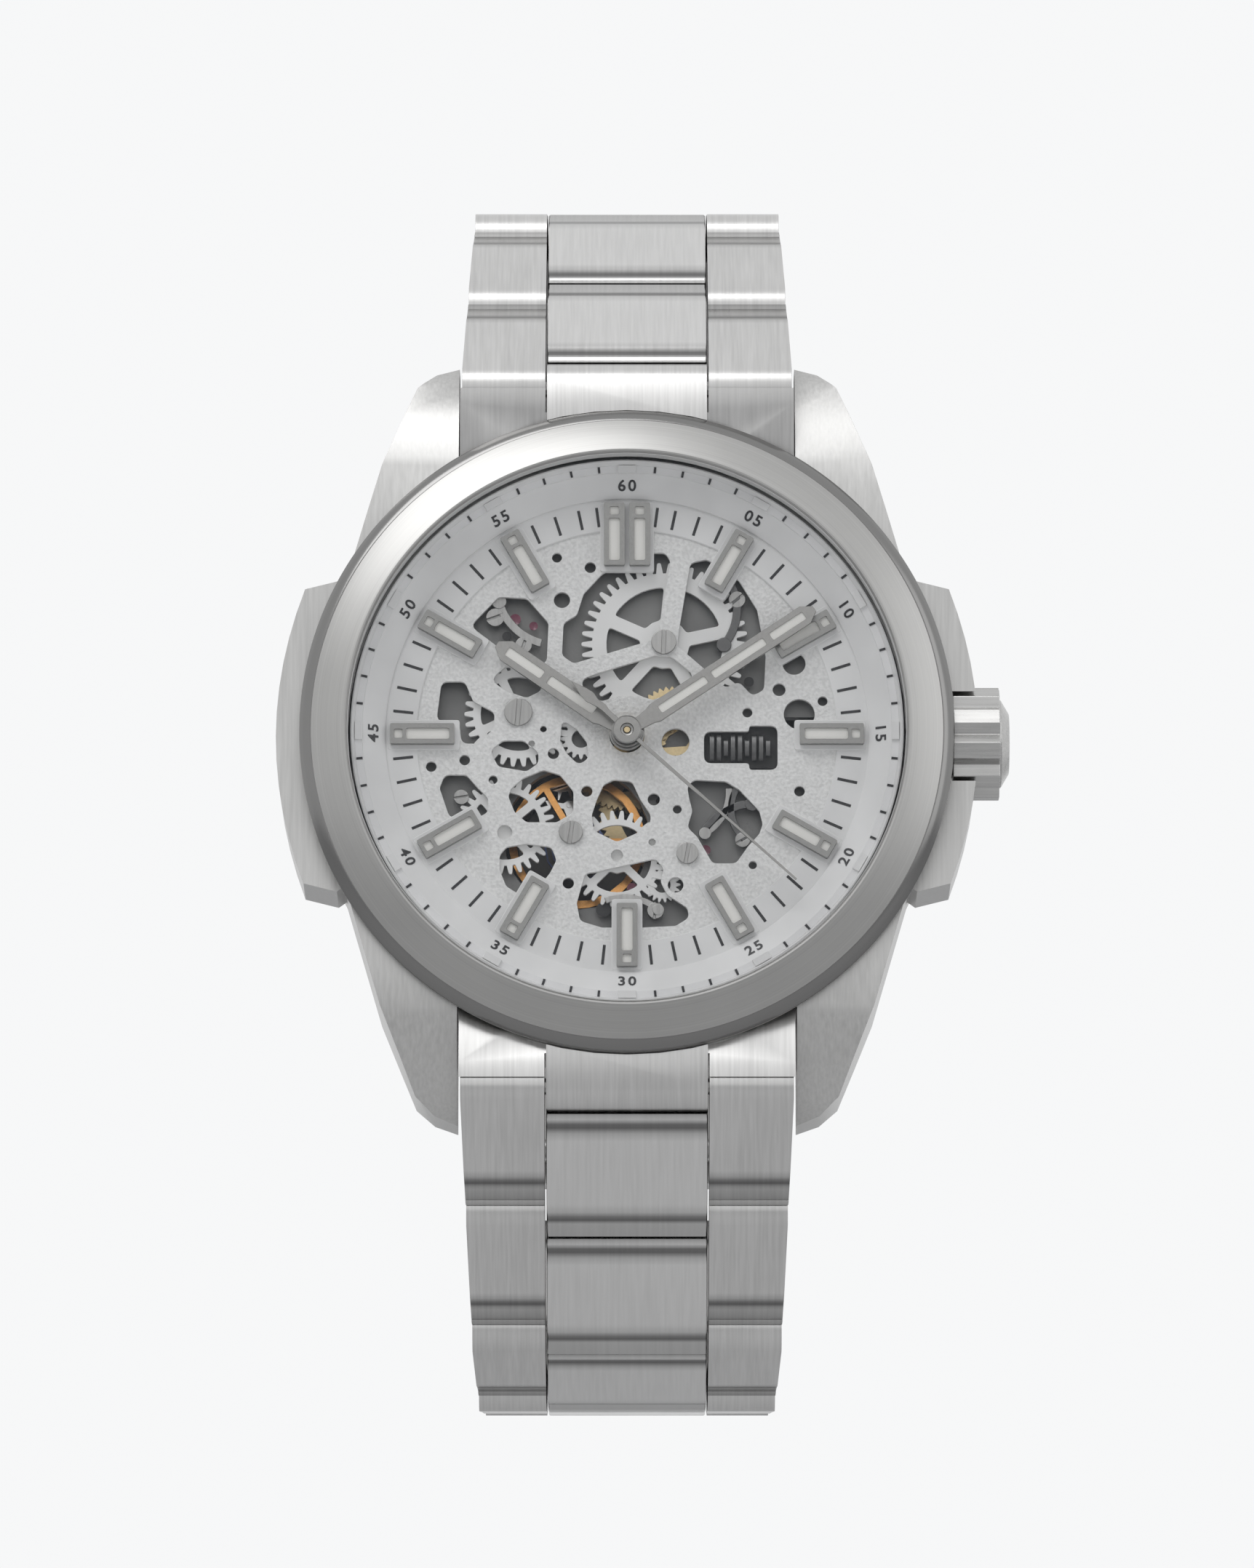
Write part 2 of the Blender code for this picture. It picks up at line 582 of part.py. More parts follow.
def make_escapement():
    pivot, turn = pallet_line()
    # Drawn along +x towards the balance: two pallet arms, a lever and its fork.
    fork = [
        (-0.25, 1.25), (-0.6, 1.35), (-0.45, 0.95), (-0.2, 0.3), (-0.3, 0.0), (-0.2, -0.3),
        (-0.45, -0.95), (-0.6, -1.35), (-0.25, -1.25), (0.15, -0.35), (1.55, -0.12), (1.95, -0.35),
        (2.0, -0.15), (1.7, 0.0), (2.0, 0.15), (1.95, 0.35), (1.55, 0.12), (0.15, 0.35),
    ]
    pallet = add(
        "pallet_fork", flat([fork], 4.55, 4.7), GREY_STEEL, place=(*pivot, 0), turn=(0, 0, turn)
    )
    join(pallet, disc(PALLET_ARBOR, BRIDGE_BASE + 0.3, 4.75, 12), place=(*pivot, 0))

    rim_windows = spoke_windows(0.5, BALANCE_RADIUS - 0.45, 3, 0.4, 7)
    balance = add(
        "balance_wheel", flat([circle(BALANCE_RADIUS, 36)] + rim_windows, 4.8, 5.2),
        (0.72, 0.42, 0.24), place=(*BALANCE_PLACE, 0),
    )
    join(balance, disc(0.16, 2.5, 5.44, 12), place=(*BALANCE_PLACE, 0))
    make_hairspring()


def make_hairspring():
    """A flat spiral of thin strip, its outer end held by the balance cock and its inner end by the staff."""
    coils, inner, pitch, base, top = 4.0, 0.5, 0.4, 3.05, 3.25
    count = int(coils * 14)
    outer_side, inner_side = [], []
    for i in range(count + 1):
        a = math.tau * coils * i / count
        radius = inner + pitch * coils * i / count
        outer_side.append(((radius + 0.05) * math.cos(a), (radius + 0.05) * math.sin(a)))
        inner_side.append(((radius - 0.05) * math.cos(a), (radius - 0.05) * math.sin(a)))
    add(
        "hairspring", flat([outer_side + inner_side[::-1]], base, top), (0.25, 0.3, 0.55),
        place=(*BALANCE_PLACE, 0),
    )


def make_motion_work():
    cannon = add(
        "cannon_pinion", pinion(MOTION_REACH, "cannon", "minute", 6.42, 6.68, 0.46), GREY_STEEL
    )
    join(cannon, flat([circle(0.55, 16), circle(0.46, 16)], 6.42, 8.55))
    hour = add("hour_wheel", wheel(MOTION_REACH, "hour", "minute_pinion", 6.76, 6.92, 0.63, 3), BRASS)
    join(hour, flat([circle(0.85, 20), circle(0.63, 16)], 6.76, 8.1))
    minute = add(
        "minute_wheel", wheel(MOTION_REACH, "minute", "cannon", 6.42, 6.62, 0.3, 3), BRASS,
        place=(*MINUTE_PLACE, 0),
    )
    small = pinion(MOTION_REACH, "minute_pinion", "hour", 6.55, 6.95, 0.3)
    join(minute, small, place=(*MINUTE_PLACE, 0))


def make_plates():
    room = WINDING_RADIUS + 0.2
    slot = [(9.4, -room), (13.5, -room), (13.5, room), (9.4, room)]
    plate = add("mainplate", flat([
        circle(PLATE_RADIUS, 48), circle(0.9, 16), circle(BALANCE_RADIUS + 0.25, 24, *BALANCE_PLACE),
        circle(0.4, 10, *THIRD_PLACE),
    ], PLATE_BASE, PLATE_TOP), GREY_STEEL, roughness=0.5)
    cut(plate, flat([slot], PLATE_BASE - 1, PLATE_TOP + 1))
    join(plate, disc(0.24, PLATE_TOP - 0.3, 6.95, 12), place=(*MINUTE_PLACE, 0))
    escape_hole = disc(0.22, PLATE_BASE - 1, PLATE_BASE + 0.6, 12)
    cut(plate, escape_hole, place=(*ESCAPE_PLACE, 0))

    edge = PLATE_RADIUS - 0.35
    foot_top = PLATE_BASE - 0.05
    train = arc(edge, 205, 352, 20) + [(5.6, 0.6)] + arc(1.2, 10, 170, 5) + [(-5.2, -0.2)]
    train_bridge = add("train_bridge", flat([
        train, circle(0.3, 12), circle(0.3, 12, *THIRD_PLACE), circle(0.3, 12, *ESCAPE_PLACE),
        circle(BALANCE_RADIUS - 0.6, 28, *BALANCE_PLACE),
    ], BRIDGE_BASE, BRIDGE_TOP), GREY_STEEL, roughness=0.45)
    _, turn = pallet_line()
    arm = [(0.8, -0.5)] + arc(0.5, -90, 90, 5, PALLET_REACH) + [(0.8, 0.5)]
    pallet_arm = flat([arm, circle(PALLET_ARBOR + RUN, 8, PALLET_REACH)], BRIDGE_BASE, BRIDGE_TOP)
    join(train_bridge, pallet_arm, place=(*ESCAPE_PLACE, 0), turn=(0, 0, turn))
    for angle in (212, 300, 345):
        join(train_bridge, disc(1.1, BRIDGE_TOP - 0.2, foot_top, 14), place=(*polar(11.2, angle), 0))

    barrel = arc(edge, 2, 170, 22) + [(-4.5, 1.6)] + arc(1.9, 120, 30, 5)
    barrel_bridge = add("barrel_bridge", flat([
        barrel, circle(0.45 + RUN, 12, *BARREL_PLACE),
    ], BRIDGE_BASE, BRIDGE_TOP), GREY_STEEL, roughness=0.45)
    for angle in (15, 120, 165):
        join(barrel_bridge, disc(1.1, BRIDGE_TOP - 0.2, foot_top, 14), place=(*polar(11.2, angle), 0))

    bx, by = BALANCE_PLACE
    cock = arc(0.9, 20, 160, 6, bx, by) + [(-4.6, -10.0)] + arc(edge - 0.1, 247, 262, 4) + [(-2.0, -9.6)]
    balance_cock = add("balance_cock", flat([cock, circle(0.24, 12, bx, by)], BRIDGE_BASE, BRIDGE_TOP),
                       GREY_STEEL, roughness=0.45)
    combine(bpy.data.objects["train_bridge"], cutter_like(cock, 0.15), "DIFFERENCE")
    join(balance_cock, disc(0.55, BRIDGE_TOP - 0.2, foot_top, 12), place=(*polar(11.6, 254.5), 0))


def cutter_like(outline, gap):
    """A cutter that clears a plate of this outline by a gap all round."""
    centre = Vector((sum(x for x, _ in outline), sum(y for _, y in outline))) / len(outline)
    grown = []
    for x, y in outline:
        away = Vector((x, y)) - centre
        grown.append(tuple(centre + away * (1 + gap / away.length)))
    return add("clearance", flat([grown], BRIDGE_BASE - 1, BRIDGE_TOP + 1))


def make_winding():
    rim_base = BACK_GLASS_THICK + 0.15
    weight = arc(ROTOR_RADIUS, 186, 354, 28) + [(9.9, -1.2), (2.2, 0.6)]
    weight += arc(1.9, 15, 165, 7) + [(-2.2, 0.6), (-9.9, -1.2)]
    rotor = add(
        "rotor", flat([weight, circle(1.0, 20)], rim_base, rim_base + 0.2), GREY_STEEL, roughness=0.4
    )
    rim = arc(ROTOR_RADIUS, 188, 352, 28) + arc(ROTOR_RADIUS - 1.7, 351, 189, 24)
    join(rotor, flat([rim], rim_base + 0.1, BRIDGE_BASE - 0.1))
    lathe("rotor_bearing", [
        (0, rim_base - 0.05), (0.9, rim_base - 0.05), (0.9, 1.75), (1.5, 1.75), (1.5, 2.15), (0, 2.15),
    ], STEEL, 24)
    ratchet = flat([gear_outline(2.9, 40), circle(0.45 + 0.03, 12)], 1.8, 2.05)
    add("ratchet_wheel", ratchet, GREY_STEEL, place=(*BARREL_PLACE, 0))
    crown_wheel = flat([gear_outline(1.9, 26), circle(0.4, 12)], 1.8, 2.05)
    crown_reach = 2.9 + 1.9 + 0.05
    spot = Vector(BARREL_PLACE) + Vector(polar(crown_reach, -30))
    add("crown_wheel", crown_wheel, GREY_STEEL, place=(*spot, 0))
    stud = disc(0.34, 1.8, BRIDGE_BASE + 0.2, 12)
    join(bpy.data.objects["barrel_bridge"], stud, place=(*spot, 0))

    for name, start, end, radius, teeth in (
        ("clutch_wheel", 10.3, 11.45, CLUTCH_RADIUS, 12),
        ("winding_pinion", 11.6, 12.6, WINDING_RADIUS, 14),
    ):
        outline = [gear_outline(radius, teeth), circle(STEM_RADIUS + RUN, 12)]
        add(name, flat(outline, start, end, across=True), GREY_STEEL, place=(0, 0, STEM_HEIGHT))

    low, high = 4.3, DIAL_BASE - FIT
    inner, outer = PLATE_RADIUS + FIT, BORE_RADIUS - FIT
    lathe("movement_ring", [(inner, low), (outer, low), (outer, high), (inner, high)], GREY_STEEL, 36)
    ring = bpy.data.objects["movement_ring"]
    room = STEM_RADIUS + 0.3
    cut(ring, block((PLATE_RADIUS - 1, -room, low - 1), (BORE_RADIUS + 1, room, STEM_HEIGHT + room)))


# ---- The bracelet ----------------------------------------------------------------------------------
SIDE_GAP = 0.1              # between a centre piece and the side pieces
KNUCKLE_GAP = 0.1           # between a round end and the hollow it turns in


def round_end(x, start, end):
    return arc(KNUCKLE, start, end, 5, x, 0)


def hollow_end(x, side):
    """The hollow that a knuckle turns in, met from the far side (+1) or the near side (-1)."""
    reach = KNUCKLE + KNUCKLE_GAP
    half = LINK_THICK / 2
    spread = math.degrees(math.asin(half / reach))
    if side > 0:
        return arc(reach, 180 - spread, 180 + spread, 5, x, 0)
    return arc(reach, -spread, spread, 5, x, 0)


def side_outline():
    """A side piece from the side: round about the front pin at 0, hollow about the next pin."""
    return round_end(0, 95, 265) + hollow_end(LINK_PITCH, 1)[::-1]


def centre_outline():
    """A centre piece from the side: hollow about the front pin, round about the next pin."""
    return hollow_end(0, -1)[::-1] + round_end(LINK_PITCH, -85, 85)


def pin_points():
    """The y, z of every bracelet pin on the 12 o'clock side, the clasp's included."""
    points = [Vector(FIRST_PIN)]
    for slope in LINK_SLOPES:
        a = math.radians(slope)
        points.append(points[-1] + LINK_PITCH * Vector((math.cos(a), -math.sin(a))))
    return points


def make_link(name, width, place, turn, pin=True):
    centre = CENTRE_WIDTH / 2
    where = {"place": place, "turn": turn}
    link = add(name, flat([centre_outline()], -centre, centre, across=True), STEEL, **where)
    bore = circle(PIN_RADIUS + RUN, 8)
    for side in (-1, 1):
        low, high = sorted((side * (centre + SIDE_GAP), side * width / 2))
        join(link, flat([side_outline(), bore], low, high, across=True), **where)
    tie_half = width / 2 - 0.5
    join(link, rod(PIN_RADIUS + 0.1, -tie_half, tie_half, 8, (LINK_PITCH / 2, 0)), **where)
    if pin:
        pin_half = width / 2 - 0.7
        join(link, rod(PIN_RADIUS, -pin_half, pin_half, 8, (LINK_PITCH, 0)), **where)
    return link


def make_end_link(name, turn):
    """Fills the space between two lugs, and carries the first hinge."""
    y, z = FIRST_PIN
    reach = KNUCKLE + KNUCKLE_GAP
    half = LUG_WIDTH / 2 - FIT
    top = CASE_TOP + 0.5
    start = CASE_RADIUS + FIT
    side_start = math.sqrt(start**2 - (CENTRE_WIDTH / 2) ** 2)
    hollow = arc(reach, 100, 225, 8, y, z)
    outline = [(side_start - 4, top - 1.5), (side_start - 4, 4.0), (y - 1.5, z - 3.4)]
    outline += hollow[::-1] + [(y - 1.2, top)]
    body = add(name, flat([outline], -half, half, across=True), STEEL, turn=turn)
    cut(body, block((-CENTRE_WIDTH / 2 - SIDE_GAP, y - 1.75, 0), (CENTRE_WIDTH / 2 + SIDE_GAP, 30, 12)),
        turn=turn)
    tongue = [(y - 2.3, top), (y - 2.3, z - 1.2)] + arc(KNUCKLE, -75, 75, 7, y, z)
    tongue_solid = flat([tongue], -CENTRE_WIDTH / 2, CENTRE_WIDTH / 2, across=True)
    join(body, tongue_solid, turn=turn)
    join(body, rod(PIN_RADIUS, -half + 0.9, half - 0.9, 10, (y, z)), turn=turn)
    cut(body, disc(start, 0, CASE_TOP + 0.2, 64), turn=turn)
    cut(body, disc(BEZEL_RADIUS + FIT, CASE_TOP, 12, 64), turn=turn)
    return body


def make_bracelet():
    pins = pin_points()
    for side, turn in (("12", 0.0), ("6", math.pi)):
        make_end_link("end_link_" + side, (0, 0, turn))
        sign = 1 if side == "12" else -1
        for i in range(LINKS):
            place = (0, sign * pins[i].x, pins[i].y)
            last = side == "6" and i == LINKS - 1
            make_link(
                f"link_{side}_{i + 1}", LINK_WIDTHS[i], place,
                (-math.radians(LINK_SLOPES[i]), 0, turn), pin=not last,
            )


# ---- The folding clasp -----------------------------------------------------------------------------
def clasp_arc():
    """The circle through the last pins: the height of its centre, and its radius."""
    last = pin_points()[-1]
    radius = last.x / math.sin(math.radians(CLASP_TURN))
    return last.y + radius * math.cos(math.radians(CLASP_TURN)), radius


def curved_plate(inner, outer, start, end, low, high, count=13):
    """A plate bent round the clasp's centre: radii, then angles from straight down, then x limits."""
    height, _ = clasp_arc()
    outline = arc(outer, start - 90, end - 90, count, 0, height)
    outline += arc(inner, end - 90, start - 90, count, 0, height)
    return flat([outline], low, high, across=True)


CLASP_COVER_END = 15.0      # degrees from the middle to the cover's 6 o'clock end
BLADE_HINGE = 13.6          # degrees from the middle to each blade hinge
HINGE_RISE = 0.2            # of the blade hinge above the clasp's middle radius


def hinge_point(side):
    """The y, z of a blade hinge, on the 12 (+1) or 6 (-1) o'clock side."""
    height, radius = clasp_arc()
    a = math.radians(side * BLADE_HINGE)
    reach = radius - HINGE_RISE
    return reach * math.sin(a), height - reach * math.cos(a)


def make_clasp():
    height, radius = clasp_arc()
    half = CLASP_WIDTH / 2
    last = pin_points()[-1]
    cover = add(
        "clasp_cover",
        curved_plate(radius + 0.7, radius + 1.6, -CLASP_COVER_END, CLASP_TURN - 2.3, -half, half), STEEL,
    )
    tangent = math.radians(180 - CLASP_TURN)
    ear = round_end(0, 95, 265) + [(3.6, -1.45), (3.6, 1.45)]
    for side in (-1, 1):
        low, high = sorted((side * half, side * (half - CLASP_WALL)))
        join(cover, curved_plate(
            radius - 1.6, radius + 0.75, -CLASP_COVER_END + 2.6, CLASP_TURN - 3.2, low, high))
        low, high = sorted((side * half, side * (CENTRE_WIDTH / 2 + SIDE_GAP)))
        piece = flat([ear, circle(PIN_RADIUS + RUN, 10)], low, high, across=True)
        join(cover, piece, place=(0, last.x, last.y), turn=(-tangent, 0, 0))
    y, z = hinge_point(-1)
    for side in (-1, 1):
        low, high = sorted((side * (half - CLASP_WALL), side * (half - 2.4)))
        knuckle = flat([circle(0.85, 14, y, z), circle(PIN_RADIUS + RUN, 10, y, z)], low, high, across=True)
        join(cover, knuckle)
        post = curved_plate(radius + 0.42, radius + 0.8, -BLADE_HINGE - 0.55, -BLADE_HINGE + 0.55, low, high, 3)
        join(cover, post)

    blade_half = half - 2.4 - 0.15
    outer = add("clasp_blade_outer", curved_plate(
        radius - 0.3, radius + 0.4, -BLADE_HINGE + 0.3, BLADE_HINGE - 0.5, -blade_half, blade_half), STEEL)
    join(outer, flat([circle(0.75, 14, y, z)], -blade_half, blade_half, across=True))
    join(outer, rod(PIN_RADIUS, -half + CLASP_WALL + 0.3, half - CLASP_WALL - 0.3, 10, (y, z)))
    slot_half = blade_half - 2.2
    cut(outer, curved_plate(
        radius - 2, radius + 2, -BLADE_HINGE + 2.6, BLADE_HINGE - 2.6, -slot_half, slot_half))
    y, z = hinge_point(1)
    for side in (-1, 1):
        low, high = sorted((side * blade_half, side * (blade_half - 1.6)))
        join(outer, flat([circle(0.85, 14, y, z), circle(PIN_RADIUS + RUN, 10, y, z)], low, high, across=True))
    inner_half = blade_half - 1.6 - 0.15
    cut(outer, block((-inner_half - 0.15, y - 1.0, z - 3), (inner_half + 0.15, y + 3, z + 3)))
    make_inner_blade(inner_half, blade_half)
    make_buttons(half)


def make_inner_blade(inner_half, blade_half):
    _, radius = clasp_arc()
    y, z = hinge_point(1)
    inner = add("clasp_blade_inner", curved_plate(
        radius - 1.3, radius - 0.6, -BLADE_HINGE + 1.1, BLADE_HINGE - 0.1, -inner_half, inner_half), STEEL)
    join(inner, flat([circle(0.75, 14, y, z)], -inner_half, inner_half, across=True))
    join(inner, rod(PIN_RADIUS, -blade_half + 0.3, blade_half - 0.3, 10, (y, z)))
    slot_half = inner_half - 1.7
    cut(inner, curved_plate(
        radius - 3, radius + 1, -BLADE_HINGE + 3.4, BLADE_HINGE - 3.0, -slot_half, slot_half))


def make_buttons(half):
    """A sprung push piece in each wall of the cover."""
    _, radius = clasp_arc()
    cover = bpy.data.objects["clasp_cover"]
    for name, side in (("left", -1), ("right", 1)):
        low, high = sorted((side * (half - 1.9), side * (half + 0.8)))
        button = curved_plate(radius - 1.1, radius - 0.1, 4.0, 8.0, low, high, 4)
        add("clasp_button_" + name, button, STEEL)
        low, high = sorted((side * (half - 3), side * (half + 2)))
        cut(cover, curved_plate(radius - 1.1 - RUN, radius - 0.1 + RUN, 3.95, 8.05, low, high, 4))


make_case()
make_bezel_and_crystal()
make_case_back()
make_crown()
make_dial()
make_rehaut()
make_hands()
make_train()
make_escapement()
make_motion_work()
make_plates()
make_winding()
make_bracelet()
make_clasp()
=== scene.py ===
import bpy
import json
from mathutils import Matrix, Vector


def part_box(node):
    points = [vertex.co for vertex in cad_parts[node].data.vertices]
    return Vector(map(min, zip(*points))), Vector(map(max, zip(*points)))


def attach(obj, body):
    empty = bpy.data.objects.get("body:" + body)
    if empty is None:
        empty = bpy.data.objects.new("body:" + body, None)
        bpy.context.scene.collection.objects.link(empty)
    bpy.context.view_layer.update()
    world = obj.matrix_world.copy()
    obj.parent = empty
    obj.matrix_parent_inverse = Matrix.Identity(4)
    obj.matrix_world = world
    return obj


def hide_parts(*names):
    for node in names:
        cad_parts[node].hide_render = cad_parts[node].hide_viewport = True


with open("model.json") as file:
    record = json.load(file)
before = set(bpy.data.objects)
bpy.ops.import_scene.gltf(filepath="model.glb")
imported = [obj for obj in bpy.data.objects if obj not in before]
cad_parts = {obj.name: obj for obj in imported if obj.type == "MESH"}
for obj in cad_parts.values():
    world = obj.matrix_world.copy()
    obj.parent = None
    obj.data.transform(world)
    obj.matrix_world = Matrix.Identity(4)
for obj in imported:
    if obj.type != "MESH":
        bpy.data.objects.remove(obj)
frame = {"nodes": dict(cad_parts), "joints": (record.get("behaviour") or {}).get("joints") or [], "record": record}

"""The looks of the skeleton wristwatch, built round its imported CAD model.

Shapes are drawn in millimetres in the watch's own axes (x to 3 o'clock, y to 12 o'clock, z out of
the dial) and turned into the frame's metres as each mesh is made.
"""

import json
import math

import bmesh
import bpy
from mathutils import Matrix, Vector

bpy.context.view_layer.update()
NODES = frame["nodes"]
JOINTS = {joint["name"]: joint for joint in frame["joints"]}
BODY_OF = {
    node: body
    for body, nodes in frame["record"]["behaviour"]["bodies"].items()
    for node in nodes
}
# Millimetres in watch axes to metres in the frame: x stays, z turns to -Y, and y turns to Z.
TO_FRAME = Matrix(((0.001, 0, 0, 0), (0, 0, -0.001, 0), (0, 0.001, 0, 0), (0, 0, 0, 1)))
TO_WATCH = TO_FRAME.inverted()


def watch_box(node):
    """A CAD node's lowest and highest corners in the watch's own axes, in millimetres."""
    low, high = (TO_WATCH @ Vector(corner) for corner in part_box(node))
    return Vector(map(min, low, high)), Vector(map(max, low, high))


# ---- Sizes, read from the frame ------------------------------------------------------------------
BEZEL_LOW, BEZEL_HIGH = watch_box("bezel")
BEZEL_RADIUS = BEZEL_HIGH.y
BEZEL_TOP = BEZEL_HIGH.z
DIAL_LOW, DIAL_HIGH = watch_box("dial_plate")
DIAL_RADIUS, DIAL_TOP = DIAL_HIGH.y, DIAL_HIGH.z
GLASS_LOW, GLASS_HIGH = watch_box("crystal")
REHAUT_HIGH = watch_box("rehaut_ring")[1].z


# ---- Making shapes -------------------------------------------------------------------------------
def finish_mesh(grid, angle=35.0, to_frame=TO_FRAME):
    """Turns a bmesh in millimetres into a smooth-shaded mesh in the frame, with its sharp edges marked."""
    bmesh.ops.recalc_face_normals(grid, faces=grid.faces)
    for face in grid.faces:
        face.smooth = True
    for edge in grid.edges:
        edge.smooth = len(edge.link_faces) == 2 and edge.calc_face_angle(4) < math.radians(angle)
    mesh = bpy.data.meshes.new("mesh")
    grid.to_mesh(mesh)
    grid.free()
    mesh.transform(to_frame)
    return mesh


def chamfer_top(grid, width, segments=1, angle=40.0):
    """Bevels the sharp edges round the highest faces of a flat plate."""
    top = max(v.co.z for v in grid.verts)
    edges = [
        e for e in grid.edges
        if all(v.co.z > top - 1e-4 for v in e.verts) and len(e.link_faces) == 2
        and e.calc_face_angle(0) > math.radians(angle)
    ]
    bmesh.ops.bevel(grid, geom=edges, offset=width, segments=segments, affect="EDGES", profile=0.5,
                    clamp_overlap=True)
    return grid


def piece(name, mesh, finish, body="case", replaces=(), bevel=0.0, segments=2, limit=40):
    """A visible piece that rides on a body, with its material and any rounded edges in millimetres."""
    obj = bpy.data.objects.new(name, mesh)
    bpy.context.scene.collection.objects.link(obj)
    obj.data.materials.clear()
    obj.data.materials.append(finish)
    if bevel:
        edge = obj.modifiers.new("rounded_edges", "BEVEL")
        edge.width = bevel * 0.001
        edge.segments = segments
        edge.limit_method = "ANGLE"
        edge.angle_limit = math.radians(limit)
        edge.harden_normals = True
    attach(obj, body)
    if replaces:
        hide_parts(*([replaces] if isinstance(replaces, str) else replaces))
    return obj


def circle(radius, sides=48, x=0.0, y=0.0):
    return arc(radius, 0, 360 - 360 / sides, sides, x, y)


def arc(radius, start, end, count, x=0.0, y=0.0):
    angles = [math.radians(start + (end - start) * i / (count - 1)) for i in range(count)]
    return [(x + radius * math.cos(a), y + radius * math.sin(a)) for a in angles]


def rounded(points, radius, steps=5):
    """The outline with each corner rounded to a radius, or to as much of it as the corner's sides allow."""
    made = []
    count = len(points)
    for i in range(count):
        before, here, after = (Vector(points[(i + k) % count]) for k in (-1, 0, 1))
        back, on = before - here, after - here
        reach = min(back.length, on.length) * 0.48
        half = back.angle(on) / 2
        cut = min(radius / max(math.tan(half), 1e-3), reach)
        start, end = here + back.normalized() * cut, here + on.normalized() * cut
        for k in range(steps):
            t = k / (steps - 1)
            a, b = start.lerp(here, t), here.lerp(end, t)
            made.append(tuple(a.lerp(b, t)))
    return made


def plate_grid(outlines, base, top):
    """A bmesh of a plate along z: the first outline is its edge and the others are its holes."""
    curve = bpy.data.curves.new("outline", "CURVE")
    curve.dimensions = "2D"
    curve.fill_mode = "BOTH"
    curve.extrude = (top - base) / 2
    for points in outlines:
        spline = curve.splines.new("POLY")
        spline.points.add(len(points) - 1)
        spline.use_cyclic_u = True
        for point, (x, y) in zip(spline.points, points):
            point.co = (x, y, 0, 1)
    helper = bpy.data.objects.new("outline", curve)
    bpy.context.scene.collection.objects.link(helper)
    bpy.context.view_layer.update()
    drawn = bpy.data.meshes.new_from_object(
        helper.evaluated_get(bpy.context.evaluated_depsgraph_get())
    )
    bpy.data.objects.remove(helper, do_unlink=True)
    grid = bmesh.new()
    grid.from_mesh(drawn)
    bpy.data.meshes.remove(drawn)
    bmesh.ops.remove_doubles(grid, verts=grid.verts, dist=1e-4)
    bmesh.ops.dissolve_limit(grid, angle_limit=0.001, verts=grid.verts, edges=grid.edges)
    bmesh.ops.translate(grid, verts=grid.verts, vec=(0, 0, (base + top) / 2))
    return grid


def plate(outlines, base, top, turn=None):
    grid = plate_grid(outlines, base, top)
    if turn is not None:
        bmesh.ops.transform(grid, verts=grid.verts, matrix=turn)
    return finish_mesh(grid)


def turned_grid(profile, steps=96):
    """A bmesh of a closed (radius, z) profile turned about z."""
    grid = bmesh.new()
    rings = []
    for i in range(steps):
        a = math.tau * i / steps
        rings.append([grid.verts.new((r * math.cos(a), r * math.sin(a), z)) for r, z in profile])
    count = len(profile)
    for i in range(steps):
        here, there = rings[i], rings[(i + 1) % steps]
        for j in range(count):
            k = (j + 1) % count
            if profile[j][0] or profile[k][0]:
                grid.faces.new((here[j], here[k], there[k], there[j]))
    bmesh.ops.remove_doubles(grid, verts=grid.verts, dist=1e-5)
    return grid


def turned(profile, steps=96, turn=None, angle=35.0):
    grid = turned_grid(profile, steps)
    if turn is not None:
        bmesh.ops.transform(grid, verts=grid.verts, matrix=turn)
    return finish_mesh(grid, angle)


def block_grid(low, high):
    grid = bmesh.new()
    size = [b - a for a, b in zip(low, high)]
    middle = [(a + b) / 2 for a, b in zip(low, high)]
    bmesh.ops.create_cube(
        grid, size=1, matrix=Matrix.Translation(middle) @ Matrix.Diagonal((*size, 1))
    )
    return grid


def merged(grids):
    """One bmesh from several, which are freed."""
    whole = bmesh.new()
    for grid in grids:
        part = bpy.data.meshes.new("part")
        grid.to_mesh(part)
        grid.free()
        whole.from_mesh(part)
        bpy.data.meshes.remove(part)
    return whole


def new_material(name, colour, roughness, metallic=0.0):
    made = bpy.data.materials.new(name)
    made.use_nodes = True
    shader = made.node_tree.nodes["Principled BSDF"]
    shader.inputs["Base Color"].default_value = (*colour, 1)
    shader.inputs["Roughness"].default_value = roughness
    shader.inputs["Metallic"].default_value = metallic
    return made, made.node_tree.nodes, made.node_tree.links, shader


def noise_of(nodes, links, vector, scale, detail=3.0):
    made = nodes.new("ShaderNodeTexNoise")
    made.inputs["Scale"].default_value = scale
    made.inputs["Detail"].default_value = detail
    links.new(vector, made.inputs["Vector"])
    return made


def ramp_of(nodes, links, value, low, high, start=0.35, end=0.65):
    """A colour ramp between two colours over part of a value's range."""
    made = nodes.new("ShaderNodeValToRGB")
    made.color_ramp.elements[0].position = start
    made.color_ramp.elements[1].position = end
    made.color_ramp.elements[0].color = (*low, 1)
    made.color_ramp.elements[1].color = (*high, 1)
    links.new(value, made.inputs["Fac"])
    return made


def spread(nodes, links, value, low, high):
    """A value of 0 to 1 spread over another range."""
    made = nodes.new("ShaderNodeMapRange")
    made.inputs["To Min"].default_value = low
    made.inputs["To Max"].default_value = high
    links.new(value, made.inputs["Value"])
    return made.outputs["Result"]


def bump_of(nodes, links, height, shader, strength, distance):
    made = nodes.new("ShaderNodeBump")
    made.inputs["Strength"].default_value = strength
    made.inputs["Distance"].default_value = distance
    links.new(height, made.inputs["Height"])
    links.new(made.outputs["Normal"], shader.inputs["Normal"])


def shades(colour, amount):
    return tuple(c * (1 - amount) for c in colour), tuple(min(1, c * (1 + amount)) for c in colour)


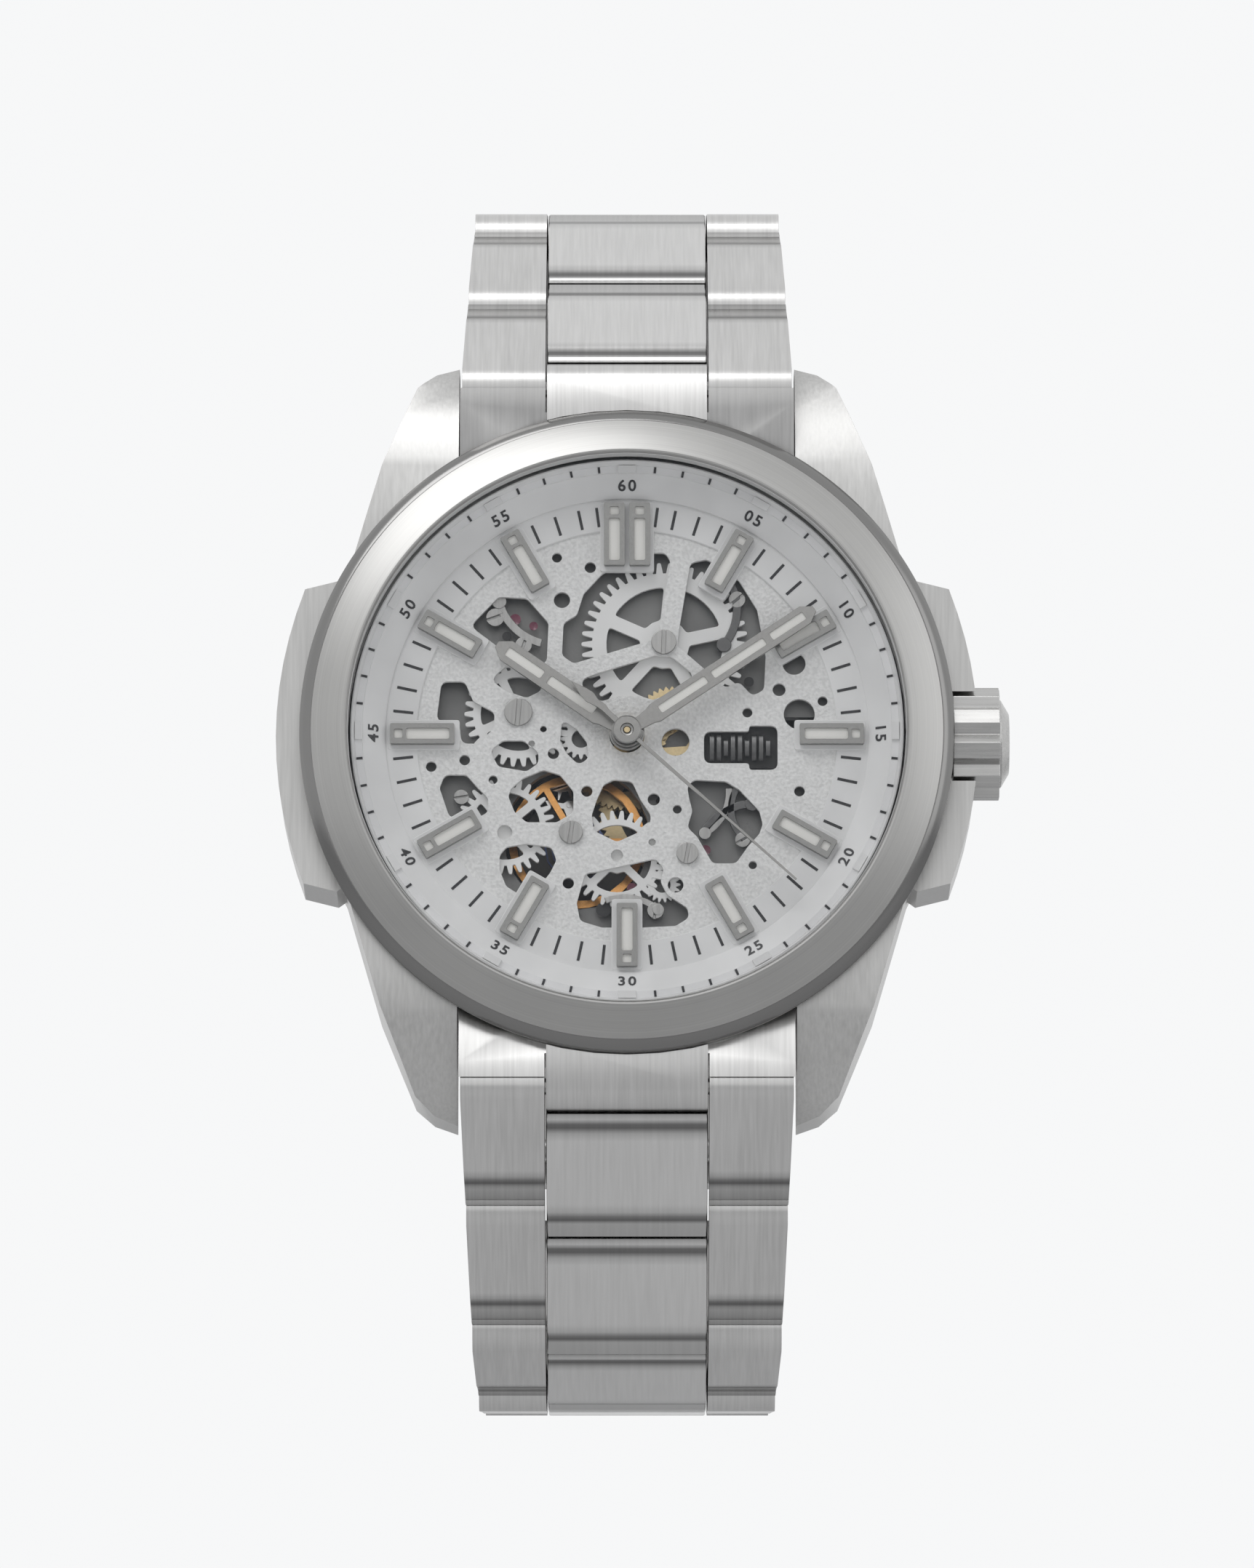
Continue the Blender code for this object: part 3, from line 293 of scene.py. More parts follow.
def brushed(name, colour, roughness=0.3, along=(1, 1, 1), circular=False, grain=0.10, depth=2e-6,
            shade_by_crease=False):
    """Steel with a fine grain, straight or in rings. One made for the links also darkens its colour by its mesh's
    crease value, as painted shade in the creases and a painted dark reflection on the facets.
    """
    made, nodes, links, shader = new_material(name, colour, roughness, 1.0)
    place = nodes.new("ShaderNodeTexCoord").outputs["Object"]
    if circular:
        flat_part = nodes.new("ShaderNodeVectorMath")
        flat_part.operation = "MULTIPLY"
        flat_part.inputs[1].default_value = (1, 0, 1)
        links.new(place, flat_part.inputs[0])
        length = nodes.new("ShaderNodeVectorMath")
        length.operation = "LENGTH"
        links.new(flat_part.outputs["Vector"], length.inputs[0])
        joined = nodes.new("ShaderNodeCombineXYZ")
        links.new(length.outputs["Value"], joined.inputs["X"])
        vector, scale = joined.outputs["Vector"], 9000.0
    else:
        stretch = nodes.new("ShaderNodeMapping")
        stretch.inputs["Scale"].default_value = along
        links.new(place, stretch.inputs["Vector"])
        vector, scale = stretch.outputs["Vector"], 6000.0
    lines = noise_of(nodes, links, vector, scale, 2.0)
    cloud = noise_of(nodes, links, place, 160.0, 4.0)
    blend = nodes.new("ShaderNodeMix")
    blend.inputs["Factor"].default_value = 0.35
    links.new(lines.outputs["Fac"], blend.inputs["A"])
    links.new(cloud.outputs["Fac"], blend.inputs["B"])
    tone = ramp_of(nodes, links, blend.outputs["Result"], *shades(colour, grain))
    links.new(tone.outputs["Color"], shader.inputs["Base Color"])
    # Painted shade: the colour is scaled from 1 down to 0.12 as the crease value goes from 0 to 1.
    if shade_by_crease:
        crease = nodes.new("ShaderNodeAttribute")
        crease.attribute_name = "crease"
        shade_painted_colour = nodes.new("ShaderNodeVectorMath")
        shade_painted_colour.operation = "SCALE"
        links.new(tone.outputs["Color"], shade_painted_colour.inputs[0])
        links.new(spread(nodes, links, crease.outputs["Fac"], 1.0, 0.12), shade_painted_colour.inputs["Scale"])
        links.new(shade_painted_colour.outputs["Vector"], shader.inputs["Base Color"])
    rough = spread(nodes, links, blend.outputs["Result"], roughness * 0.75, roughness * 1.3)
    links.new(rough, shader.inputs["Roughness"])
    bump_of(nodes, links, lines.outputs["Fac"], shader, 0.35, depth)
    return made


def grained(name, colour, roughness, metallic=0.0, scale=5200.0, depth=2.2e-5, strength=0.5, tone=0.05,
            tone_scale=240.0):
    """A sand-blasted or lacquered grain with a little wear in its colour."""
    made, nodes, links, shader = new_material(name, colour, roughness, metallic)
    place = nodes.new("ShaderNodeTexCoord").outputs["Object"]
    grain = noise_of(nodes, links, place, scale, 2.0)
    cloud = noise_of(nodes, links, place, tone_scale, 3.0)
    colours = ramp_of(nodes, links, cloud.outputs["Fac"], *shades(colour, tone))
    links.new(colours.outputs["Color"], shader.inputs["Base Color"])
    rough = spread(nodes, links, grain.outputs["Fac"], roughness * 0.8, roughness * 1.2)
    links.new(rough, shader.inputs["Roughness"])
    bump_of(nodes, links, grain.outputs["Fac"], shader, strength, depth)
    return made


def clear(name, tint, alpha=0.09):
    """Sapphire: almost wholly see-through, with faint smears in its gloss."""
    made, nodes, links, shader = new_material(name, tint, 0.03)
    shader.inputs["Alpha"].default_value = alpha
    shader.inputs["IOR"].default_value = 1.77
    place = nodes.new("ShaderNodeTexCoord").outputs["Object"]
    smear = noise_of(nodes, links, place, 90.0, 3.0)
    links.new(spread(nodes, links, smear.outputs["Fac"], 0.01, 0.06), shader.inputs["Roughness"])
    return made


CASE_STEEL = (0.50, 0.497, 0.49)
STEEL_FRONT = brushed("brushed_steel_case", CASE_STEEL, 0.36, along=(1.0, 1.0, 0.04), grain=0.08,
                      depth=1e-6)
STEEL_BEZEL = brushed("brushed_steel_bezel", (0.38, 0.377, 0.37), 0.34, circular=True, grain=0.08,
                      depth=1e-6)
# The chamfer's steel is made darker than steel: a painted dark reflection.
STEEL_CHAMFER_DARK_REFLECTION = brushed("polished_chamfer_painted_dark_reflection", (0.22, 0.218, 0.215), 0.2, circular=True, grain=0.05,
                        depth=4e-7)
# The link steels carry painted shade, darker where a mesh's crease value is higher.
STEEL_LINK = brushed("brushed_steel_link_painted_crease_shade", (0.56, 0.556, 0.55), 0.30, along=(1.0, 0.04, 0.04), grain=0.08,
                     depth=1e-6, shade_by_crease=True)
STEEL_CENTRE = brushed("satin_steel_centre_link_painted_crease_shade", (0.62, 0.616, 0.61), 0.24, along=(1.0, 0.04, 0.04),
                       grain=0.05, depth=6e-7, shade_by_crease=True)
STEEL_POLISHED = brushed("polished_steel", (0.60, 0.596, 0.59), 0.14, along=(1, 1, 1), grain=0.03,
                         depth=4e-7)
STEEL_CROWN = brushed("brushed_steel_crown", (0.48, 0.477, 0.47), 0.28, along=(0.04, 1.0, 1.0), depth=1e-6)
STEEL_HAND = brushed("satin_steel_hand", (0.33, 0.325, 0.315), 0.30, along=(1, 1, 1), grain=0.06,
                     depth=6e-7)
# The index frames' steel is made darker than steel: a painted dark reflection.
STEEL_INDEX_DARK_REFLECTION = brushed("satin_steel_index_painted_dark_reflection", (0.29, 0.288, 0.28), 0.32, along=(1, 1, 1), grain=0.06,
                      depth=6e-7)
STEEL_SCREW = brushed("brushed_steel_screw", (0.38, 0.377, 0.37), 0.35, along=(1.0, 1.0, 0.05), grain=0.14)
STEEL_BACK = brushed("brushed_steel_back", (0.50, 0.497, 0.49), 0.32, circular=True, grain=0.07, depth=1e-6)
# The train bridge and balance cock are near black: a guessed colour, which gives black behind the balance.
DARK_PLATE = grained("near_black_bridge", (0.06, 0.06, 0.06), 0.4, metallic=0.5, scale=6000.0, depth=1e-5)
WHITE_GRAIN = grained("white_grained_dial", (0.84, 0.84, 0.83), 0.55, scale=5200.0, depth=8e-5,
                      strength=1.0,
                      tone=0.09, tone_scale=5200.0)
WHITE_SATIN = grained("white_satin_dial", (0.84, 0.84, 0.835), 0.45, scale=9000.0, depth=4e-6, strength=0.3)
WHITE_GEAR = grained("white_openwork_gear", (0.86, 0.86, 0.85), 0.45, scale=8000.0, depth=1e-5,
                     strength=0.3)
REHAUT_SATIN = grained("rehaut_satin", (0.84, 0.84, 0.835), 0.38, metallic=0.0, scale=9000.0,
                       depth=3e-6, strength=0.3)
TRACK_WHITE = grained("rehaut_track_white", (0.86, 0.86, 0.86), 0.4, scale=9000.0, depth=3e-6, strength=0.2)
LUME = grained("lume", (0.90, 0.89, 0.85), 0.6, scale=9000.0, depth=5e-6, strength=0.3, tone=0.03)
INK = grained("black_ink", (0.018, 0.018, 0.02), 0.45, scale=9000.0, depth=2e-6, strength=0.2, tone=0.2)
BLASTED = grained("grey_blasted_plate", (0.21, 0.21, 0.206), 0.45, metallic=0.8, scale=6000.0,
                  depth=1.5e-5, strength=0.5, tone=0.12)
DARK_STEEL = brushed("dark_steel_lever", (0.13, 0.13, 0.13), 0.35, along=(1, 1, 1), grain=0.12)
BRASS = brushed("gilt_brass", (0.62, 0.50, 0.30), 0.32, circular=False, grain=0.08)
COPPER = brushed("balance_copper", (0.78, 0.40, 0.14), 0.25, along=(1, 1, 1), grain=0.10)
BLUED = brushed("blued_hairspring", (0.16, 0.20, 0.38), 0.3, along=(1, 1, 1))
RUBY = grained("ruby_jewel", (0.16, 0.04, 0.07), 0.12, scale=900.0, depth=1e-6, strength=0.1, tone=0.2)
# Black used only for painted shade: the holes in the plate and the sheet under the keyless works.
BLACK_SHADE = grained("black_painted_shade", (0.03, 0.03, 0.03), 0.6, scale=4000.0, depth=6e-6)
SAPPHIRE = clear("sapphire", (0.22, 0.24, 0.27), 0.04)
NYLON = grained("white_gasket", (0.62, 0.62, 0.61), 0.5, scale=4000.0, depth=6e-6)


def refined(node, finish, bevel=0.0, name=None, segments=2, limit=30, weld=2e-6):
    """A smooth-shaded copy of a CAD node's shape, with its edges rounded, that stands for the node."""
    grid = bmesh.new()
    grid.from_mesh(NODES[node].data)
    bmesh.ops.remove_doubles(grid, verts=grid.verts, dist=weld)
    bmesh.ops.dissolve_limit(grid, angle_limit=math.radians(0.6), verts=grid.verts, edges=grid.edges)
    for face in grid.faces:
        face.smooth = True
    for edge in grid.edges:
        edge.smooth = len(edge.link_faces) == 2 and edge.calc_face_angle(4) < math.radians(28)
    mesh = bpy.data.meshes.new(node + "_shape")
    grid.to_mesh(mesh)
    grid.free()
    made = piece(name or node + "_finished", mesh, finish, BODY_OF[node], node, bevel=bevel,
                 segments=segments, limit=limit)
    return made


# ---- The dial --------------------------------------------------------------------------------------
FIELD_RADIUS = 12.55        # the grained middle of the dial
RING_TOP = DIAL_TOP + 0.14
REHAUT_INNER, REHAUT_BREAK, TRACK_EDGE = 14.45, 15.8, 16.25
REHAUT_LOW, REHAUT_HIGH_AT_BREAK = DIAL_TOP + 0.38, DIAL_TOP + 1.2
# Openings in the grained field, as outlines whose corners are rounded.
WINDOWS = {
    "ten": [(-9.4, 6.7), (-7.7, 8.5), (-6.0, 8.4), (-4.7, 6.9), (-4.8, 4.6), (-5.3, 4.1), (-7.7, 5.4)],
    "twelve": [
        (-1.5, 9.9), (-2.6, 8.7), (-3.0, 7.4), (-3.8, 6.9), (-3.9, 4.9), (-3.2, 4.4), (1.7, 5.9),
        (1.9, 6.3), (2.6, 10.7), (2.3, 11.2), (0.9, 11.2), (-1.0, 10.2),
    ],
    "one": [
        (3.8, 10.6), (4.8, 10.8), (6.7, 9.5), (7.8, 7.7), (8.3, 4.9), (8.2, 2.8), (7.5, 2.4),
        (6.7, 3.3), (5.9, 2.9), (4.6, 4.1), (3.0, 5.5), (3.1, 6.4),
    ],
    "arbour": [
        (-2.8, 3.4), (-1.8, 3.8), (1.7, 4.9), (2.7, 4.8), (3.9, 3.8), (3.8, 2.9), (2.2, 2.4),
        (1.3, 2.1), (0.7, 2.4), (-0.5, 2.4), (-1.5, 2.1), (-2.4, 2.4),
    ],
    "nine": [
        (-11.1, 3.3), (-9.7, 3.3), (-9.2, 2.1), (-7.9, 1.4), (-8.0, 0.4), (-8.9, -0.5), (-9.9, -0.5),
        (-10.0, 0.7), (-11.4, 0.9),
    ],
    "ten_low": [(-8.2, 3.4), (-7.2, 4.3), (-5.5, 3.5), (-5.0, 2.8), (-6.0, 2.3), (-7.2, 2.7)],
    "middle_left": [
        (-3.9, 1.0), (-3.0, 0.4), (-2.4, -0.4), (-2.3, -1.4), (-2.9, -1.8), (-3.6, -1.1), (-4.0, -0.4),
    ],
    "nine_low": [
        (-8.2, -0.9), (-7.4, -0.3), (-6.2, -0.3), (-5.3, -1.0), (-5.3, -1.7), (-6.0, -2.2), (-7.7, -1.9),
    ],
    "eight": [
        (-11.2, -3.2), (-10.9, -2.4), (-9.6, -2.4), (-8.9, -3.2), (-8.3, -3.8), (-8.3, -4.7),
        (-8.9, -5.0), (-10.6, -5.0),
    ],
    "balance": [
        (-6.2, -2.6), (-5.0, -2.1), (-4.0, -2.4), (-3.2, -3.4), (-3.2, -4.7), (-4.2, -5.3), (-6.0, -5.3),
        (-6.7, -4.7), (-7.1, -3.7), (-6.9, -3.2),
    ],
    "six_high": [
        (-1.8, -3.9), (-1.4, -3.0), (-0.8, -2.7), (0.3, -2.8), (0.8, -3.9), (1.4, -4.8), (1.4, -5.3),
        (0.7, -5.9), (-0.6, -6.5), (-2.0, -5.8), (-2.1, -4.8),
    ],
    "seven": [
        (-7.6, -7.3), (-7.2, -6.8), (-6.0, -6.6), (-4.5, -6.8), (-4.2, -7.6), (-4.6, -8.4), (-5.0, -8.9),
        (-6.4, -9.7), (-7.2, -9.2), (-7.6, -8.2),
    ],
    "six": [
        (-3.0, -10.2), (-2.5, -8.4), (-1.8, -8.3), (1.7, -7.5), (2.2, -8.1), (2.0, -8.9), (2.4, -9.7),
        (3.6, -10.5), (3.7, -11.1), (2.9, -11.6), (0.9, -11.7), (-1.5, -11.7), (-2.8, -11.3),
    ],
    "four": [
        (3.6, -3.1), (4.0, -2.7), (5.9, -2.8), (6.7, -3.3), (7.9, -4.6), (8.1, -5.4), (7.9, -6.0),
        (7.2, -6.8), (6.5, -7.8), (5.1, -7.8), (4.2, -6.2), (3.6, -5.6), (3.9, -4.6), (3.7, -3.8),
    ],
    "three": [
        (4.6, -1.7), (7.3, -1.7), (7.3, -2.1), (9.0, -2.1), (9.0, 0.6), (7.3, 0.6), (7.3, 0.25), (4.6, 0.25),
    ],
}
# Round holes through the field: x, y, radius.
FIELD_HOLES = [
    (-4.2, 10.9, 0.3), (-2.2, 10.3, 0.34), (-3.9, 8.3, 0.49), (-5.0, 0.4, 0.2), (-5.7, -0.5, 0.2),
    (-4.4, -1.1, 0.34), (-9.7, -1.5, 0.32), (-11.7, -1.9, 0.32), (-8.0, -2.7, 0.27), (-2.4, -3.4, 0.34),
    (1.6, -3.9, 0.37), (3.0, -4.5, 0.27), (1.5, -6.5, 0.22), (-0.6, -7.3, 0.36), (-3.5, -9.0, 0.34),
    (2.9, -9.1, 0.47), (-7.3, -5.9, 0.45), (9.1, 2.8, 0.39), (7.2, 1.4, 0.3), (11.7, 2.1, 0.3),
    (10.3, 1.3, 0.93), (10.0, 4.4, 0.69), (2.9, -0.4, 0.84), (10.3, -3.4, 0.32), (7.5, -7.9, 0.25),
]
DIAL_SCREWS = [(2.2, 5.7, 0.75), (-6.5, 1.4, 0.84), (-3.35, -5.92, 0.71), (3.6, -7.2, 0.65)]


def make_field():
    holes = [rounded(points, 0.45) for points in WINDOWS.values()]
    holes += [circle(r, 28, x, y) for x, y, r in FIELD_HOLES]
    holes.append(circle(1.05, 40))
    field = plate([circle(FIELD_RADIUS, 160)] + holes, DIAL_LOW.z, DIAL_TOP)
    piece("dial_field", field, WHITE_GRAIN, replaces="dial_plate", bevel=0.07, limit=60)
    ring = turned([
        (FIELD_RADIUS, DIAL_LOW.z + 0.05), (DIAL_RADIUS, DIAL_LOW.z + 0.05), (DIAL_RADIUS, RING_TOP - 0.1),
        (REHAUT_INNER, RING_TOP), (FIELD_RADIUS + 0.05, RING_TOP), (FIELD_RADIUS, RING_TOP - 0.05),
    ], 160)
    piece("dial_minute_ring", ring, WHITE_SATIN)
    bars = []
    beside_twelve = {1: 1.25, 59: 58.75}    # moved out from under the double index
    for minute in range(60):
        if minute % 5 == 0:
            continue
        bar = block_grid((-0.085, 12.85, RING_TOP - 0.01), (0.085, 14.05, RING_TOP + 0.015))
        angle = -math.tau * beside_twelve.get(minute, minute) / 60
        bmesh.ops.rotate(bar, verts=bar.verts, matrix=Matrix.Rotation(angle, 3, "Z"))
        bars.append(bar)
    piece("dial_minute_bars", finish_mesh(merged(bars)), INK)


def gear_outline(tip, root, teeth, tip_share=0.34, root_share=0.30):
    """Rounded, slightly waisted teeth."""
    points = []
    step = 360 / teeth
    middle = (tip + root) / 2
    for i in range(teeth):
        a = i * step
        for radius, offset in (
            (root, -0.5 + root_share / 2), (middle, -0.25),
            (tip - 0.06, -tip_share / 2), (tip, -tip_share / 4),
            (tip, tip_share / 4), (tip - 0.06, tip_share / 2), (middle, 0.25), (root, 0.5 - root_share / 2),
        ):
            t = math.radians(a + offset * step)
            points.append((radius * math.cos(t), radius * math.sin(t)))
    return points


def triangle_windows(inner, outer, count, spoke, turn=0.0):
    """Round-cornered openings between a gear's spokes."""
    made = []
    for i in range(count):
        start, end = 360 * i / count + turn, 360 * (i + 1) / count + turn
        half_out = math.degrees(math.asin(spoke / 2 / outer))
        half_in = math.degrees(math.asin(min(0.95, spoke / 2 / inner)))
        outline = arc(outer, start + half_out, end - half_out, 9)
        if end - start - 2 * half_in > 4:
            outline += arc(inner, end - half_in, start + half_in, 3)
        made.append(rounded(outline, outer * 0.07, 4))
    return made


def make_dial_gears():
    for node, root_share, teeth, windows, turn in (
        ("dial_gear_12", 0.872, 46, 5, 12), ("dial_gear_9", 0.84, 30, 4, 25),
        ("dial_gear_8", 0.82, 30, 4, 40), ("dial_gear_6", 0.82, 30, 4, 45),
    ):
        low, high = watch_box(node)
        middle, tip = (low + high) / 2, (high.x - low.x) / 2
        outlines = [gear_outline(tip, tip * root_share, teeth)]
        outlines += triangle_windows(tip * 0.30, tip * 0.70, windows, tip * 0.16, turn)
        shape = plate(outlines, low.z - 0.12, high.z, Matrix.Translation((middle.x, middle.y, 0)))
        piece(node + "_openwork", shape, WHITE_GEAR, replaces=node, bevel=0.04, limit=60)
    for name, x, y, tip, teeth in (
        ("small_gear_nine", -2.75, -0.1, 1.25, 16), ("small_gear_five", 2.1, -9.0, 1.1, 18),
    ):
        outlines = [gear_outline(tip, tip * 0.78, teeth), circle(tip * 0.45, 24)]
        shape = plate(outlines, DIAL_LOW.z - 0.3, DIAL_LOW.z - 0.08, Matrix.Translation((x, y, 0)))
        piece(name, shape, WHITE_GEAR, bevel=0.03, limit=60)


def slotted_screw(name, x, y, radius, base, height, finish, angle=0.0, body="case"):
    """A screw head with its slot cut as a real gap: two half discs on a thin floor."""
    slot = radius * 0.16
    spread_angle = math.degrees(math.asin(slot / radius))
    halves = []
    for side in (0, 180):
        outline = arc(radius, side + spread_angle, side + 180 - spread_angle, 20)
        halves.append(plate_grid([outline], base + height * 0.35, base + height))
    halves.append(plate_grid([circle(radius, 40)], base, base + height * 0.36))
    grid = merged(halves)
    turn = Matrix.Translation((x, y, 0)) @ Matrix.Rotation(math.radians(angle), 4, "Z")
    bmesh.ops.transform(grid, verts=grid.verts, matrix=turn)
    return piece(name, finish_mesh(grid), finish, body, bevel=radius * 0.06, limit=60)


def make_dial_screws():
    for i, (x, y, radius) in enumerate(DIAL_SCREWS):
        slotted_screw(f"dial_screw_{i + 1}", x, y, radius, DIAL_TOP + 0.01, 0.24, STEEL_SCREW, 88 - 3 * i)


def upright(centre_x, half, start, end, radius, steps=4):
    """A rounded rectangle about a line towards 12."""
    low, high = centre_x - half, centre_x + half
    return rounded([(low, start), (high, start), (high, end), (low, end)], radius, steps)


def index_frames(centre_x):
    """One applied index, drawn towards 12: its frame and its two lume fillings."""
    low, high = RING_TOP + 0.02, RING_TOP + 0.5
    frame_outline = upright(centre_x, 0.62, 10.32, 14.15, 0.09, 3)
    slot_half, square_half = 0.33, 0.27
    slot = upright(centre_x, slot_half, 10.62, 13.2, 0.12)
    square = upright(centre_x, square_half, 13.42, 13.92, 0.09)
    frame_grid = plate_grid([frame_outline, slot, square], low, high)
    fill = merged([
        block_grid((centre_x - slot_half, 10.6, low), (centre_x + slot_half, 13.22, high - 0.14)),
        block_grid((centre_x - square_half, 13.4, low), (centre_x + square_half, 13.94, high - 0.14)),
    ])
    return frame_grid, fill


def make_indices():
    for hour in range(1, 13):
        turn = Matrix.Rotation(-math.tau * hour / 12, 4, "Z")
        centres = (-0.76, 0.76) if hour == 12 else (0.0,)
        half = 0.92 if hour != 12 else 1.62
        foot_outline = upright(0, half, 10.0, 14.3, 0.15, 3)
        foot = plate([foot_outline], DIAL_LOW.z + 0.05, RING_TOP + 0.03, turn)
        piece(f"index_foot_{hour}", foot, WHITE_SATIN, bevel=0.05, limit=60)
        frames, fills = zip(*(index_frames(x) for x in centres))
        kinds = (("frame", frames, STEEL_INDEX_DARK_REFLECTION, 0.09), ("lume", fills, LUME, 0.0))
        for label, grids, finish, edge in kinds:
            grid = merged(grids)
            bmesh.ops.transform(grid, verts=grid.verts, matrix=turn)
            piece(f"index_{label}_{hour}", finish_mesh(grid), finish, bevel=edge, segments=2, limit=60)


def make_rehaut():
    low, rise, top = REHAUT_LOW, REHAUT_HIGH_AT_BREAK, REHAUT_HIGH
    ring = turned([
        (REHAUT_INNER, DIAL_TOP + 0.12), (16.5, DIAL_TOP + 0.12), (16.5, top - 0.02), (16.42, top),
        (TRACK_EDGE, rise + 0.14), (REHAUT_BREAK + 0.02, rise + 0.1), (REHAUT_BREAK, rise),
        (REHAUT_INNER + 0.06, low), (REHAUT_INNER, low - 0.05),
    ], 180)
    piece("rehaut_slope", ring, REHAUT_SATIN, replaces="rehaut_ring")
    track = turned([
        (REHAUT_BREAK + 0.03, rise + 0.1), (TRACK_EDGE, rise + 0.14), (TRACK_EDGE, rise + 0.16),
        (REHAUT_BREAK + 0.03, rise + 0.13),
    ], 180)
    piece("rehaut_track", track, TRACK_WHITE)
    ticks, blocks = [], []
    for minute in range(60):
        turn = Matrix.Rotation(-math.tau * minute / 60, 3, "Z")
        if minute % 5:
            tick = block_grid((-0.07, REHAUT_BREAK + 0.06, rise + 0.12),
                              (0.07, TRACK_EDGE - 0.02, rise + 0.185))
            bmesh.ops.rotate(tick, verts=tick.verts, matrix=turn)
            ticks.append(tick)
        else:
            block = block_grid((-0.55, REHAUT_BREAK - 0.02, rise + 0.05), (0.55, TRACK_EDGE, rise + 0.3))
            bmesh.ops.rotate(block, verts=block.verts, matrix=turn)
            blocks.append(block)
    piece("rehaut_ticks", finish_mesh(merged(ticks)), INK)
    piece("rehaut_hour_blocks", finish_mesh(merged(blocks)), REHAUT_SATIN, bevel=0.04)


def make_numerals():
    """The printed minutes on the rehaut's slope, tops outward above the middle and inward below it."""
    slope = math.atan2(REHAUT_HIGH_AT_BREAK - REHAUT_LOW, REHAUT_BREAK - REHAUT_INNER)
    radius, height = 15.12, 0.70
    level = REHAUT_LOW + (radius - REHAUT_INNER) * math.tan(slope)
    grids = []
    for minute in range(5, 65, 5):
        curve = bpy.data.curves.new("numeral", "FONT")
        curve.body = f"{minute:02d}"
        curve.size = height / 0.7
        curve.space_character = 1.25
        curve.align_x, curve.align_y = "CENTER", "CENTER"
        curve.extrude = 0.006
        curve.offset = 0.02
        curve.resolution_u = 3
        helper = bpy.data.objects.new("numeral", curve)
        bpy.context.scene.collection.objects.link(helper)
        bpy.context.view_layer.update()
        drawn = bpy.data.meshes.new_from_object(helper.evaluated_get(bpy.context.evaluated_depsgraph_get()))
        bpy.data.objects.remove(helper, do_unlink=True)
        grid = bmesh.new()
        grid.from_mesh(drawn)
        bpy.data.meshes.remove(drawn)
        bmesh.ops.remove_doubles(grid, verts=grid.verts, dist=1e-5)
        inward = 20 <= minute <= 40
        flip = Matrix.Rotation(math.pi if inward else 0.0, 4, "Z")
        lean = Matrix.Rotation(slope, 4, "X")
        out = Matrix.Translation((0, radius, level + 0.008))
        round_dial = Matrix.Rotation(-math.tau * minute / 60, 4, "Z")
        bmesh.ops.transform(grid, verts=grid.verts, matrix=round_dial @ out @ lean @ flip)
        grids.append(grid)
    piece("rehaut_numerals", finish_mesh(merged(grids)), INK)


# ---- The hands -------------------------------------------------------------------------------------
def hand_turn(node):
    """The turn that takes a hand drawn towards 12 o'clock to where its CAD node points."""
    world = NODES[node].matrix_world
    points = [(TO_WATCH @ (world @ v.co)).xy for v in NODES[node].data.vertices]
    reach = max(p.length for p in points)
    far = [p for p in points if p.length > reach * 0.97]
    tip = sum(far, Vector((0, 0))) / len(far)
    return Matrix.Rotation(math.atan2(-tip.x, tip.y), 4, "Z"), reach


def slot_outline(half, start, end):
    return rounded([(-half, start), (half, start), (half, end), (-half, end)], half * 0.5, 4)


def bar_hand(node, width, hub, bore, slots):
    """A bar hand with sloping facets and lume set into slots along its length."""
    turn, length = hand_turn(node)
    low, high = watch_box(node)
    half = width / 2
    outline = [
        (half * 0.62, hub * 0.8), (half * 0.8, 1.7), (half, 2.0), (half, length - 0.7),
        (half * 0.3, length - 0.03), (-half * 0.3, length - 0.03), (-half, length - 0.7), (-half, 2.0),
        (-half * 0.8, 1.7), (-half * 0.62, hub * 0.8),
    ]
    outline += arc(hub, 122, 418, 28)
    holes = [slot_outline(half * 0.42, start, end) for start, end in slots]
    body = chamfer_top(plate_grid([outline, circle(bore, 32)] + holes, low.z, high.z), half * 0.27)
    bmesh.ops.transform(body, verts=body.verts, matrix=turn)
    rider = BODY_OF[node]
    piece(node + "_bar", finish_mesh(body, 20), STEEL_HAND, rider, node)
    fills = [
        plate_grid([slot_outline(half * 0.42, start - 0.02, end + 0.02)], low.z + 0.04, high.z - 0.07)
        for start, end in slots
    ]
    fill = merged(fills)
    bmesh.ops.transform(fill, verts=fill.verts, matrix=turn)
    piece(node + "_lume", finish_mesh(fill), LUME, rider)


def make_hands():
    bar_hand("hour_hand", 1.35, 1.05, 0.72, [(2.35, 5.7), (6.15, 8.75)])
    bar_hand("minute_hand", 1.2, 0.95, 0.48, [(2.35, 5.7), (6.15, 9.9), (10.35, 12.75)])
    turn, length = hand_turn("seconds_hand")
    low, high = watch_box("seconds_hand")
    needle = [(0.11, 0.7), (0.05, length), (-0.05, length), (-0.11, 0.7)] + arc(0.72, 99, 258, 14)
    needle += [
        (-0.11, -1.9), (-0.15, -2.3), (-0.34, -3.0), (-0.26, -3.5), (0, -4.46),
        (0.26, -3.5), (0.34, -3.0), (0.15, -2.3), (0.11, -1.9),
    ]
    needle += arc(0.72, 282, 441, 14)
    body = chamfer_top(plate_grid([needle, circle(0.24, 24)], low.z, high.z), 0.045)
    bmesh.ops.transform(body, verts=body.verts, matrix=turn)
    rider = BODY_OF["seconds_hand"]
    piece("seconds_hand_needle", finish_mesh(body, 20), STEEL_HAND, rider, "seconds_hand")
    cap = turned([
        (0.3, high.z - 0.02), (0.84, high.z - 0.02), (0.86, high.z + 0.06), (0.78, high.z + 0.13),
        (0.4, high.z + 0.15), (0.36, high.z + 0.06), (0.3, high.z + 0.04),
    ], 64)
    piece("seconds_hand_cap", cap, STEEL_HAND, rider)


